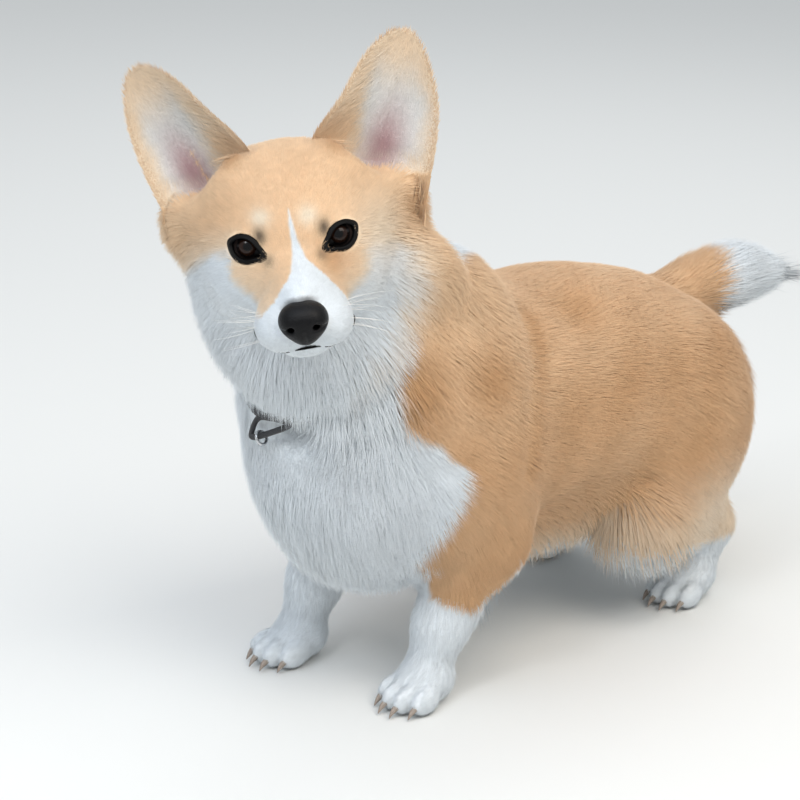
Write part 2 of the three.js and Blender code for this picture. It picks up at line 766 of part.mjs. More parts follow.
addNode('collar_strap', collarBand(collarSunk, collarProud, collarWidth), 'webbing');

// A three-cornered loop of webbing hangs from the strap at the throat, with a steel ring in it
const loopTurn = 1.78; // radians round the neck, just to the right of the throat's middle
const loopRest = collarReach(loopTurn);
const loopBelow = onOutline(collarAt.clone()
  .addScaledVector(loopRest.way, loopRest.reach)
  .addScaledVector(collarWay, -13));
const loopOut = facing(loopBelow);
const loopSide = new THREE.Vector3().crossVectors(collarWay, loopOut).normalize();
const loopUp = new THREE.Vector3().crossVectors(loopOut, loopSide);
const loopAt = loopBelow.clone().addScaledVector(loopOut, 8);
const loopMatrix = new THREE.Matrix4().makeBasis(loopSide, loopUp, loopOut).setPosition(loopAt);
function roundTriangle(path, halfWidth, height, corner) {
  const tips = [[-halfWidth, -height / 2], [halfWidth, -height / 2], [0, height / 2]];
  tips.forEach(([x, y], n) => {
    const before = tips[(n + 2) % 3];
    const after = tips[(n + 1) % 3];
    const toward = (other) => {
      const length = Math.hypot(other[0] - x, other[1] - y);
      return [x + ((other[0] - x) * corner) / length, y + ((other[1] - y) * corner) / length];
    };
    const start = toward(before);
    const end = toward(after);
    if (n === 0) path.moveTo(...start);
    else path.lineTo(...start);
    path.quadraticCurveTo(x, y, ...end);
  });
  path.closePath();
  return path;
}
const loopShape = roundTriangle(new THREE.Shape(), 17, 29, 7);
loopShape.holes.push(roundTriangle(new THREE.Path(), 10, 16, 3));
const loopGeometry = new THREE.ExtrudeGeometry(loopShape, { depth: 2.6, bevelEnabled: false, curveSegments: 3 });
loopGeometry.translate(0, 0, -1.3);
loopGeometry.applyMatrix4(loopMatrix);
addNode('collar_loop', solidOf(loopGeometry), 'webbing');
const ringGeometry = new THREE.TorusGeometry(7, 1.2, 6, 14);
ringGeometry.rotateY(Math.PI / 2);
ringGeometry.translate(0, -12.5, 0);
ringGeometry.applyMatrix4(loopMatrix);
addNode('collar_ring', solidOf(ringGeometry), 'steel');

// Long hair on the neck's back and sides falls over the strap and hides it, but for the throat
const maneTurns = spread(-70, 256, 12); // degrees round the neck, with its front at 90
const maneBare = { from: 84, to: 134 };
const maneSize = { length: 54, width: 44, rise: 13, hug: 0.9 };
const maneLocks = maneTurns.filter((turn) => turn < maneBare.from || turn > maneBare.to).map((turn) => {
  const { way, reach } = collarReach(turn * degrees);
  const start = collarAt.clone().addScaledVector(way, reach).addScaledVector(collarWay, 26);
  return growLock(start, collarWay.clone().negate(), maneSize);
});

// The bib: rows of long locks down the breast, longest at its foot between the forelegs
const bibAxisY = -30;
const bibRows = [
  { height: 198, turn: 66, count: 6, length: 50, width: 35, rise: 6 },
  { height: 170, turn: 56, count: 5, length: 50, width: 36, rise: 8 },
  { height: 142, turn: 60, count: 6, length: 50, width: 34, rise: 10 },
  { height: 116, turn: 46, count: 5, length: 48, width: 34, rise: 11, hug: 0.4 },
];
const loopClear = 36; // locks lie flat this near the loop
const bibLocks = [];
for (const row of bibRows) {
  for (const turn of spread(-row.turn, row.turn, row.count)) {
    const angle = (turn + vary(-2.5, 2.5)) * degrees;
    const start = new THREE.Vector3(80 * Math.sin(angle), bibAxisY - 80 * Math.cos(angle), row.height + vary(-4, 4));
    const near = onOutline(start).distanceTo(loopBelow) < loopClear;
    const size = near ? { ...row, rise: 2, length: row.length * 0.8 } : row;
    bibLocks.push(growLock(start, new THREE.Vector3(0.16 * Math.sin(angle), 0, -1), size));
  }
}

// Fringe under the belly, and down the flank before the thigh
const fringeSize = { length: 42, width: 30, rise: 9, hug: 0.1 };
const bellyLocks = [];
for (const side of bothSides) {
  for (const y of spread(94, 112, 2)) {
    const start = new THREE.Vector3(66 * side, y + vary(-3, 3), 102);
    bellyLocks.push(growLock(start, new THREE.Vector3(-0.1 * side, 0.35, -1), fringeSize));
  }
}

// Breeches: the upper rows are on the rump, the lower ones on the thighs
const breechRows = [
  { height: 184, reach: [16, 46], length: 44, width: 34, rise: 8 },
  { height: 162, reach: [30, 58], length: 44, width: 32, rise: 10 },
  { height: 140, reach: [14, 40], length: 42, width: 30, rise: 10, hug: 0.4 },
];
const breechLocks = [];
for (const row of breechRows) {
  for (const side of bothSides) {
    for (const reach of row.reach) {
      const start = new THREE.Vector3(reach * side, 345 - 0.25 * reach, row.height + vary(-4, 4));
      breechLocks.push(growLock(start, new THREE.Vector3(-0.12 * side, 0.1, -1), row));
    }
  }
}

const neckFlesh = chestCut(neckCut(trunk, -1), 1);
const headRoom = headGrown.subtract(beyond(neckPlane.at, neckPlane.way.clone().negate(), -gap / 2));
const clearOfLoop = throatLocks.filter(({ stations }) => stations.every(({ spot }) => spot.distanceTo(loopAt) > 27));
const collarRoom = collarBand(collarSunk - gap, collarProud + gap, collarWidth + 2 * gap);
addNode('head', coated(neckCut(head, 1), ruffLocks).subtract(collarRoom), 'fawn');
addNode('lower_jaw', jaw, 'white');
addNode('nose_leather', nose, 'nose');
for (const eye of eyes) {
  addNode(eye.side > 0 ? 'eye_left' : 'eye_right', eye.solid, 'eye');
}
for (const side of bothSides) {
  addNode(side > 0 ? 'ear_left' : 'ear_right', coated(earShell(side).subtract(headGrown), []), 'fawn');
}

const neck = coated(neckFlesh, [...clearOfLoop, ...maneLocks]);
addNode('neck', neck.subtract(headRoom).subtract(collarRoom), 'white');
addNode('torso_front', coated(chest, bibLocks).subtract(collarRoom), 'fawn');
addNode('torso_middle', coated(middle, bellyLocks), 'fawn');
addNode('torso_rear', coated(rump, breechLocks), 'fawn');

// Tail
const tailCell = 19;
const tail = solidOf(surface(outline, [-60, 250, 130], [120, 470, 310], tailCell)).intersect(tailRegion(0));

// Locks of the brush in rings along the tail, and a last bunch that ends in its point
function brushLocks(shares, around, size) {
  const locks = [];
  const curve = new THREE.CatmullRomCurve3(tailPath.map(({ at }) => new THREE.Vector3(...at)));
  shares.forEach((share, ring) => {
    const middle = curve.getPoint(share);
    const way = curve.getTangent(share);
    const level = new THREE.Vector3().crossVectors(way, up).normalize();
    const upright = new THREE.Vector3().crossVectors(level, way);
    for (let n = 0; n < around; n += 1) {
      const turn = (2 * Math.PI * (n + 0.5 * (ring % 2))) / around + vary(-0.1, 0.1);
      const outward = level.clone().multiplyScalar(Math.cos(turn)).addScaledVector(upright, Math.sin(turn));
      locks.push(growLock(middle.clone().addScaledVector(outward, 18), way, size));
    }
  });
  return locks;
}
const baseBrush = brushLocks([0.32, 0.48], 4, { length: 44, width: 29, rise: 8 });
const tipBrush = brushLocks([0.7, 0.86], 5, { length: 46, width: 27, rise: 7 });
addNode('tail_base', coated(tailCut(tail, -1), baseBrush), 'fawn');
addNode('tail_tip', tailCut(coated(tailCut(tail, 1), tipBrush), 1), 'white');

// Legs and paws
const featherSize = { length: 40, width: 25, rise: 12, hug: 0.3 };
function foreFeathers(leg) {
  return spread(93, 62, 2).map((z) => {
    const start = new THREE.Vector3(leg.elbow[0] - 4 * leg.side, leg.elbow[1] + 30 - (104 - z) * 0.5, z);
    return growLock(start, new THREE.Vector3(0, 0.5, -1), featherSize);
  });
}
function hindFeathers(leg) {
  const behind = spread(89, 68, 2).map((z) => {
    const start = new THREE.Vector3(leg.hock[0] - 6 * leg.side, 340 - (94 - z) * 0.4, z);
    return growLock(start, new THREE.Vector3(0, 0.1, -1), { ...featherSize, width: 26 });
  });
  const before = spread(165, 188, 2).map((y) => {
    const start = new THREE.Vector3(leg.knee[0] - 14 * leg.side, y, 84);
    return growLock(start, new THREE.Vector3(0, 0.2, -1), fringeSize);
  });
  return [...behind, ...before];
}
const legCell = 20;
const pawCell = 9;
function legPieces(name, locks, region, low, high, pawTop) {
  const pawBox = { low: [low[0], low[1], -8], high: [high[0], high[1], pawTop + 24] };
  const pawPlane = planeCut(new THREE.Vector3(0, 0, pawTop), up);
  const upper = solidOf(surface(outline, low, high, legCell)).intersect(region);
  const lower = solidOf(surface(outline, pawBox.low, pawBox.high, pawCell)).intersect(region);
  addNode(name, coated(pawPlane(upper, 1), locks), 'fawn');
  addNode(`${name}_paw`, groundCut(pawPlane(lower, -1), 1), 'white');
}
for (const side of bothSides) {
  const word = side > 0 ? 'left' : 'right';
  const foreLow = side > 0 ? [18, -130, 14] : [-150, -130, 14];
  const hindLow = side > 0 ? [18, 120, 14] : [-150, 120, 14];
  const foreHigh = [foreLow[0] + 132, 80, 190];
  const hindHigh = [hindLow[0] + 132, 360, 200];
  const foreLeg = forelegs.find((leg) => leg.side === side);
  const hindLeg = hindLegs.find((leg) => leg.side === side);
  legPieces(`foreleg_${word}`, foreFeathers(foreLeg), foreRegion(side, 0), foreLow, foreHigh, 40);
  legPieces(`hindleg_${word}`, hindFeathers(hindLeg), hindRegion(side, 0), hindLow, hindHigh, 44);
}

// The origin is under the middle of the whole, on the floor
const box = new THREE.Box3().setFromObject(dog);
standing.position.set(-(box.min.x + box.max.x) / 2, -(box.min.y + box.max.y) / 2, -box.min.z);

export default dog;
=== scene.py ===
import math

import bmesh
import bpy
import numpy as np
from mathutils import Matrix, Vector


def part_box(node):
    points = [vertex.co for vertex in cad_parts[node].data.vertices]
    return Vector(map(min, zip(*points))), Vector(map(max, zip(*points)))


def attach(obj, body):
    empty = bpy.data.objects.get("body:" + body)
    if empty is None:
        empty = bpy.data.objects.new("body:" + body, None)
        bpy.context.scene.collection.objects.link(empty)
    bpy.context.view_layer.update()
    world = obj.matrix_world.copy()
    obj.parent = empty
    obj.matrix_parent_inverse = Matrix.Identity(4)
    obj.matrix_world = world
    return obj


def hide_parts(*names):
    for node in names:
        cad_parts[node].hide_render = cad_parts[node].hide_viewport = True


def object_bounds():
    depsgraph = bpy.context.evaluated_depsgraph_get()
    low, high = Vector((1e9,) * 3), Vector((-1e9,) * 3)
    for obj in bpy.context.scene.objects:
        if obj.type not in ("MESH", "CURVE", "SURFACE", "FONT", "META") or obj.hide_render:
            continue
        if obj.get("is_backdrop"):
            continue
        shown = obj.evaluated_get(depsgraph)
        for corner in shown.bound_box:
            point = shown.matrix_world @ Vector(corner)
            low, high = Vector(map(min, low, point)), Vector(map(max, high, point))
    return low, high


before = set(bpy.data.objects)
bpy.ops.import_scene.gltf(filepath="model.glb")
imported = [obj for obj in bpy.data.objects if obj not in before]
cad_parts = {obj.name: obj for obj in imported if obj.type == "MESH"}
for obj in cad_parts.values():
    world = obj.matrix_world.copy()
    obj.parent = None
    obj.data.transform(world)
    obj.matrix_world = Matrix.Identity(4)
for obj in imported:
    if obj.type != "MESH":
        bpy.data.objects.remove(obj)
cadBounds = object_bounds()
print("frame:", len(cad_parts), "nodes")


# Colours and materials

def hexColour(text):  # sRGB hex to linear
    parts = [int(text[i:i + 2], 16) / 255 for i in (1, 3, 5)]
    return [p / 12.92 if p <= 0.04045 else ((p + 0.055) / 1.055) ** 2.4 for p in parts] + [1]


def addNode(tree, kind, inputs=None, **settings):
    node = tree.nodes.new(kind)
    for name, value in settings.items():
        setattr(node, name, value)
    for name, value in (inputs or {}).items():
        if isinstance(value, bpy.types.NodeSocket):
            tree.links.new(value, node.inputs[name])
        else:
            node.inputs[name].default_value = value
    return node


def newMaterial(name):
    material = bpy.data.materials.new(name)
    material.use_nodes = True
    material.node_tree.nodes.clear()
    return material, material.node_tree


def finishMaterial(tree, inputs):
    shader = addNode(tree, "ShaderNodeBsdfPrincipled", inputs)
    addNode(tree, "ShaderNodeOutputMaterial", {"Surface": shader.outputs[0]})


def mixColour(tree, share, first, second, blend="MIX"):
    inputs = {0: share, 6: first, 7: second}
    return addNode(tree, "ShaderNodeMix", inputs, data_type="RGBA", blend_type=blend).outputs[2]


def readShare(tree, name):
    return addNode(tree, "ShaderNodeAttribute", attribute_name=name).outputs["Fac"]


def grain(tree, scale, detail=2):  # fine noise; a scale of 1000 gives spots about 1 mm apart
    place = addNode(tree, "ShaderNodeTexCoord").outputs["Object"]
    return addNode(tree, "ShaderNodeTexNoise", {"Vector": place, "Scale": scale, "Detail": detail}).outputs[0]


def bumped(tree, height, distance, strength, invert=False):
    inputs = {"Height": height, "Distance": distance, "Strength": strength}
    return addNode(tree, "ShaderNodeBump", inputs, invert=invert).outputs[0]


def mapped(tree, value, low, high, fromLow=0):
    inputs = {"Value": value, "From Min": fromLow, "To Min": low, "To Max": high}
    return addNode(tree, "ShaderNodeMapRange", inputs).outputs[0]


# The dog's form in its own millimetres: it faces -Y and its left is +X. Each form gives a rough
# distance, negative inside, and the width over which it runs into the others.

def unit(way):
    way = np.asarray(way, float)
    return way / (np.linalg.norm(way, axis=-1, keepdims=True) + 1e-9)


def squared(ways):
    x, y, z = ways.T
    return x * x + y * y + z * z


def nearness(points, at, size):  # 1 at a place, fading out over the size
    return np.exp(-squared((points - at) / size))


def ball(at, radii, blend, tilt=0):
    centre, size = np.array(at, np.float32), np.array(radii, np.float32)
    c, s = math.cos(math.radians(tilt)), math.sin(math.radians(tilt))
    turn = np.array([[1, 0, 0], [0, c, s], [0, -s, c]], np.float32).T

    def distance(points):
        q = (points - centre) @ turn / size
        reach = np.sqrt(squared(q))
        q /= size
        return reach * (reach - 1) / (np.sqrt(squared(q)) + 1e-6)
    return distance, blend


def bone(start, end, startRadius, endRadius, blend):
    a, way = np.array(start, np.float32), np.subtract(end, start).astype(np.float32)

    def distance(points):
        t = np.clip((points - a) @ way / (way @ way), 0, 1)
        off = points - a - t[:, None] * way
        return np.sqrt(squared(off)) - startRadius - t * (endRadius - startRadius)
    return distance, blend


def blended(first, second, width):
    share = np.maximum(width - np.abs(first - second), 0) / width
    return np.minimum(first, second) - share * share * width * 0.25


def joined(forms):
    def value(points):
        total = forms[0][0](points)
        for distance, blend in forms[1:]:
            total = blended(total, distance(points), blend)
        return total
    return value


def smooth(low, high, value):  # 0 below low, 1 above high
    t = np.clip((value - low) / (high - low), 0, 1)
    return t * t * (3 - 2 * t)


# The head has its own frame: forward, left and up from the point between the eyes
head = {"at": (41, -167.5, 373), "turn": 47, "dip": 3, "lean": 9}
turn, dip, lean = (math.radians(head[key]) for key in ("turn", "dip", "lean"))
headForward = np.array([math.sin(turn) * math.cos(dip), -math.cos(turn) * math.cos(dip), -math.sin(dip)])
levelLeft = np.array([math.cos(turn), math.sin(turn), 0])
headLeft = levelLeft * math.cos(lean) + np.cross(headForward, levelLeft) * math.sin(lean)
headAxes = np.array([headForward, headLeft, np.cross(headForward, headLeft)])


def onHead(points):
    return np.array(head["at"]) + np.asarray(points, float) @ headAxes


def headWay(ways):
    return np.asarray(ways, float) @ headAxes


def inHead(points):
    return ((points - np.array(head["at"])) @ headAxes.T).astype(np.float32)


eyes = {"at": (-4.5, 30.5, 1), "radius": 11.5, "way": (1, 0.3, 0.16), "gaze": (1, 0.06, 0.3), "slant": 22}
eyeAt = {side: onHead((eyes["at"][0], eyes["at"][1] * side, eyes["at"][2])) for side in (1, -1)}
cadEye = sum(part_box("eye_left"), Vector()) / 2
shift = np.array(cadEye) * 1000 - eyeAt[1]  # from the dog's own place to the frame's


def toFrame(points):
    return ((points + shift) * 0.001).astype(np.float32)


def cored(radii, core=8):  # a form under long hair
    return [radius - core for radius in radii]


def footForms(x, y, side):
    toes = [ball([x + 11.5 * place + 1.5 * side, y - (26 if abs(place) < 1 else 18), 12], [7.5, 15, 11.5], 5)
            for place in (-1.5, -0.5, 0.5, 1.5)]
    return [ball([x, y, 17], [22, 27, 17], 12)] + toes


forelegs = [{"side": s, "shoulder": [66 * s, -14, 172], "elbow": [75 * s + 1, 3 * s - 3, 120],
             "wrist": [62 * s, 6 * s - 34, 60], "foot": [62 * s, 6 * s - 52]} for s in (1, -1)]
hindLegs = [{"side": s, "hip": [58 * s, 252, 150], "knee": [82 * s, 195, 92], "hock": [72 * s, 296, 60],
             "foot": [74 * s, 264]} for s in (1, -1)]
tailPath = [([0, 278, 212], 34), ([5, 312, 232], 32), ([13, 345, 248], 30), ([25, 378, 254], 28),
            ([38, 408, 250], 20)]

trunkForms = [
    ball([0, 120, 186], [104, 120, 105], 40), ball([0, 15, 190], [94, 108, 112], 50),
    ball([-6, -64, 180], cored([92, 76, 104]), 40, 8), ball([0, 195, 184], [96, 100, 96], 50),
    ball([0, 262, 180], [88, 76, 80], 50, -12), ball([2, -44, 262], [66, 74, 76], 50, -35),
    ball([0, -8, 262], [58, 74, 46], 50),
]
skullForms = [
    ball([-50, 0, 12], [54, 55, 48], 20), ball([-16, 0, 6], [24, 38, 20], 20),
    ball([20, 0, -34], [46, 29, 25], 30), ball([30, 0, -19], [42, 14, 12], 14),
]
legForms = []
for s in (1, -1):
    skullForms += [ball([-46, 32 * s, 30], [26, 22, 22], 20), ball([-65, 81 * s + 3.5, 3], [15, 13, 20], 18)]
    trunkForms += [ball([66 * s, -12, 190], [40, 58, 86], 40),
                   ball([64 * s, 243, 142], [46, 76, 86], 45, -10),
                   ball([44 * s, 294, 156], cored([50, 50, 84]), 40)]
    skullForms += [ball([-58, 45 * s, 2], [34, 33, 34], 25), ball([-80, 66 * s, 6], [22, 25, 36], 25),
                   ball([-34, 34 * s, -28], [44, 33, 36], 30), ball([49, 15 * s, -41], [23, 18.5, 16.5], 14)]
for leg in forelegs:
    ankle = [leg["foot"][0], leg["foot"][1] + 6, 32]
    legForms += [bone(leg["shoulder"], leg["elbow"], 40, 30, 30),
                 bone(leg["elbow"], leg["wrist"], 30, 22, 24),
                 bone(leg["wrist"], ankle, 21, 18, 14)] + footForms(*leg["foot"], leg["side"])
for leg in hindLegs:
    instep = [leg["foot"][0], leg["foot"][1] + 14, 28]
    legForms += [bone(leg["hip"], leg["knee"], 50, 36, 35), bone(leg["knee"], leg["hock"], 33, 20, 25),
                 bone(leg["hock"], instep, 19, 17, 16)] + footForms(*leg["foot"], leg["side"])
tailForms = [bone(a, b, *cored([ra, rb]), 22) for (a, ra), (b, rb) in zip(tailPath, tailPath[1:])]
neckForms = [
    bone([0, -40, 250], onHead([-88, 4, -50]), 68, 58, 40), ball([20, -2, 299], [36, 40, 38], 40),
    ball([56, -50, 334], [24, 28, 24], 34), ball([-46, -92, 234], [32, 34, 32], 30),
    ball(onHead([-100, 10, -6]), [30, 34, 34], 45),
]
jawForms = [ball([18, 0, -56], [42, 20, 10], 10), ball([43, 0, -54], [16, 14, 7], 8)]
ruffForms = [
    ball([-60, 52, -44], cored([38, 44, 56]), 22), ball([-58, -46, -52], cored([38, 42, 60]), 22),
    ball([-50, -4, -88], cored([44, 62, 46]), 30), ball([-92, 6, -22], [38, 52, 50], 30),
]
noseForms = [
    ball([71, 0.5, -29], [13, 13, 11], 9), ball([71, 8.5, -31], [11, 8, 9], 8),
    ball([71, -7.5, -31], [11, 8, 9], 8), ball([71, 0.5, -39], [10, 8.5, 8.5], 8),
]
bodyValue = joined(trunkForms + legForms + tailForms + neckForms)
headValue = joined(skullForms + jawForms + ruffForms)
noseValue = joined(noseForms)


# The coat at named places, blended between them. Place, reach, lie, then length, width and tip height.
# The first list is in the head's frame, the second in the dog's. Each row off the middle is mirrored, but
# for those on the tail.
headCoat = [
    ((52, 0, -14), 14, (-1, 0, 0.15), 4, 0.5, 1.0), ((12, 0, 8), 12, (-1, 0, 0.9), 5, 0.5, 1.1),
    ((-10, 0, 34), 18, (-1, 0, 0.6), 5.5, 0.5, 1.2), ((-45, 0, 60), 24, (-1, 0, -0.1), 8, 0.55, 1.7),
    ((-92, 0, 32), 26, (-0.8, 0, -0.8), 26, 1.1, 6), ((45, 24, -36), 14, (-1, 0.15, -0.2), 4.5, 0.5, 1.1),
    ((68, 9, -46), 10, (-0.6, 0.6, -0.5), 3.5, 0.45, 0.9), ((52, 5, -66), 12, (-1, 0, -0.5), 6, 0.55, 1.6),
    ((14, 32, -18), 12, (-0.9, 0.3, -0.35), 5.5, 0.5, 1.2), ((0, 26, 19), 12, (-0.7, 0.35, 0.6), 5, 0.5, 1.2),
    ((-15, 52, -14), 16, (-0.9, 0.3, -0.4), 11, 0.7, 2.4),
    ((-5, 38, -50), 16, (-0.75, 0.35, -0.6), 13, 0.75, 3),
    ((-40, 68, -30), 22, (-0.8, 0.4, -0.6), 26, 1, 6), ((-35, 68, -78), 26, (-0.5, 0.4, -0.9), 36, 1.2, 8.5),
    ((-20, 26, -116), 30, (-0.3, 0.1, -1), 40, 1.2, 15), ((10, 0, -82), 20, (-0.6, 0, -0.8), 20, 0.9, 6),
    ((-34, 50, 28), 20, (-0.9, 0.2, 0.2), 8, 0.6, 1.8), ((-50, 36, 54), 13, (-0.4, 0.35, 1), 15, 0.75, 4.5),
    ((-88, 64, 10), 24, (-0.8, 0.25, -0.7), 20, 1, 5), ((-70, 90, -6), 16, (-0.7, 0.4, -0.6), 18, 0.9, 5.5),
    ((-77, 56, 36), 15, (-0.1, 0.25, 1), 14, 0.8, 3),
]
bodyCoat = [
    ((0, -118, 236), 30, (0, -0.15, -1), 34, 1.2, 7), ((68, -50, 292), 34, (0.1, 0.5, -0.85), 30, 1.2, 6.5),
    ((0, -12, 312), 30, (0, 1, -0.15), 28, 1.2, 5), ((0, 100, 292), 50, (0, 1, -0.05), 24, 1.1, 3.4),
    ((0, 220, 285), 45, (0, 1, -0.1), 24, 1.1, 3.4), ((104, 100, 190), 60, (0, 1, -0.3), 25, 1.2, 3.4),
    ((96, -30, 222), 36, (0.1, 0.8, -0.6), 24, 1.1, 3.8), ((0, -142, 180), 36, (0, 0, -1), 38, 1.3, 8.5),
    ((58, -108, 172), 30, (0.25, 0.1, -1), 36, 1.3, 8), ((0, -96, 104), 34, (0, 0.25, -1), 42, 1.4, 13),
    ((104, -10, 136), 26, (0, 0.5, -0.9), 18, 0.9, 3.6), ((52, 84, 84), 36, (0, 0.4, -1), 46, 1.2, 30),
    ((86, 122, 98), 30, (0, 0.35, -1), 46, 1.2, 25),
    ((108, 236, 165), 46, (0, 0.8, -0.6), 24, 1.1, 3.6), ((45, 338, 180), 30, (-0.1, 0.15, -1), 38, 1.3, 12),
    ((45, 334, 125), 30, (-0.05, -0.1, -1), 36, 1.2, 11), ((62, -42, 62), 22, (0, -0.05, -1), 11, 0.9, 2.5),
    ((74, 24, 100), 20, (0, 0.5, -1), 32, 1.1, 12), ((82, 172, 88), 26, (0, 0.4, -1), 40, 1.1, 21),
    ((72, 292, 62), 18, (0, 0, -1), 12, 0.9, 2.6), ((72, 322, 84), 16, (0, 0.1, -1), 26, 1, 7),
    ((62, -66, 14), 20, (0, -0.9, -0.4), 7.5, 0.75, 1.6),
    ((74, 244, 14), 20, (0, -0.9, -0.4), 7.5, 0.75, 1.6),
    ((0, 296, 236), 20, (0.05, 0.85, 0.5), 30, 1.2, 8), ((16, 352, 252), 22, (0.3, 0.9, 0.2), 40, 1.3, 11),
    ((42, 410, 250), 24, (0.45, 0.9, -0.1), 42, 1.3, 11),
]
coatRows = []
for rows, place, heading in ((headCoat, onHead, headWay), (bodyCoat, np.array, np.array)):
    for at, reach, way, *sizes in rows:
        sideAxis = 1 if rows is headCoat else 0
        onTail = rows is bodyCoat and at[1] > 290 and at[2] > 230
        for s in (1,) if at[sideAxis] == 0 or onTail else (1, -1):
            mirror = np.ones(3)
            mirror[sideAxis] = s
            coatRows.append((place(at * mirror), reach, unit(heading(way * mirror)), *sizes))
coatPlaces = np.array([row[0] for row in coatRows], np.float32)
coatReach = np.array([row[1] for row in coatRows], np.float32)
coatValues = np.array([[*row[2], *row[3:]] for row in coatRows], np.float32)


def coatAt(points, rules=coatValues):  # lie (3), length, width, tip height
    total = np.zeros((len(points), rules.shape[1]), np.float32)
    weights = np.zeros(len(points), np.float32)
    for place, reach, values in zip(coatPlaces, coatReach, rules):
        off = points - place
        d = squared(off) / (reach * reach)
        weight = np.exp(-d) + 1e-5 / (1 + d * d)
        total += weight[:, None] * values
        weights += weight
    return total / weights[:, None]


# Folds of the hide: a crease behind the shoulder on the side that the neck bends to, and a hollow above
# the loin
creasePath = [(56, 66, 287), (73, 61, 272), (89, 49, 256), (105, 30, 234), (114, 20, 206), (116, 14, 182)]
creaseForms = [bone(a, b, 0, 0, 1) for a, b in zip(creasePath, creasePath[1:])]
hollowAt, ridgeAt = np.array([[58, 121, 280], [90, 84, 246]], np.float32)

# The collar stands here because the hide sinks below it under the ruff
collar = {"at": (0, -60, 258), "way": (0, -0.547, 0.837), "up": 10, "width": 8, "thickness": 1.8,
          "steps": 240}
collarWay = unit(collar["way"])
collarMiddle = np.array(collar["at"]) + collarWay * collar["up"]


def folds(points):
    below = (points - collarMiddle) @ collarWay + 7
    underRuff = np.exp(-(below / 9) ** 2) * smooth(-50, -90, points[:, 1]) * smooth(-30, 0, points[:, 0])
    crease = np.min([distance(points) for distance, _ in creaseForms], axis=0)
    ridge = nearness(points, ridgeAt, 26)
    hollow = nearness(points, hollowAt, (26, 22, 22))
    return 4.5 * np.exp(-(crease / 10) ** 2) - 3 * ridge + 6 * hollow + 12 * underRuff


def eyeAxes(side):  # out of the eye, towards its outer corner, and up, in the head's frame
    way = unit(np.array(eyes["way"]) * (1, side, 1))
    level = unit(np.cross((0, 0, 1), way)) * side
    upright = np.cross(way, level) * side
    slant = math.radians(eyes["slant"])
    outer = level * math.cos(slant) + upright * math.sin(slant)
    return way, outer, upright * math.cos(slant) - level * math.sin(slant)


earHollows = [ball([-60, 62 * s, 49], [20, 20, 22], 14)[0] for s in (1, -1)]  # the skull dips into each ear
eyeForms, socketForms = [], []
for s in (1, -1):
    way, outer, _ = eyeAxes(s)
    middle = np.array(eyes["at"]) * (1, s, 1)
    eyeForms.append(ball(middle, [eyes["radius"] + 1.1] * 3, 6))
    socketForms += [ball(middle + way * (eyes["radius"] + 2), (12, 12.5, 10), 1, 22 * s),
                    bone(middle + way * 8.5 - outer * 7, middle + way * 8 - outer * 13, 4.4, 3, 1)]
mouthPath = [(66, 0, -51), (60, 13, -53), (44, 23, -55), (22, 30, -57), (0, 35, -60)]
grooveForms = []
for s in (1, -1):
    for a, b in zip(mouthPath, mouthPath[1:]):
        grooveForms.append(bone(np.multiply(a, (1, s, 1)), np.multiply(b, (1, s, 1)), 1.5, 1.5, 1))
soleLevel = 1.65


# The hide lies inside the solids by the depth of the short coat, or of the long coat's core
def hideValue(points, sockets=False):
    body, inner = bodyValue(points), inHead(points)
    face = headValue(inner)
    depth = np.minimum(coatAt(points, coatValues[:, 5:])[:, 0], 6)
    value = blended(body, face, 35) + depth + folds(points)
    for distance in earHollows:
        value = -blended(-value, distance(inner), 14)
    near = (np.abs(inner[:, 0] - 20) < 60) & (np.abs(inner[:, 1]) < 60) & (np.abs(inner[:, 2] + 20) < 60)
    part, here = inner[near], value[near]
    for distance, blend in eyeForms:
        here = blended(here, distance(part), blend)
    for distance, _ in socketForms if sockets else ():
        here = np.maximum(here, -distance(part))
    value[near] = here
    return np.maximum(value, soleLevel + 0.6 - points[:, 2])


def skinValue(points):
    return hideValue(points, True)


def slope(points, value, step=0.6):
    moved = [value(points + np.eye(3, dtype=np.float32)[axis] * step) for axis in range(3)]
    here = value(points)
    return here, unit((np.stack(moved, -1) - here[:, None]) / step).astype(np.float32)


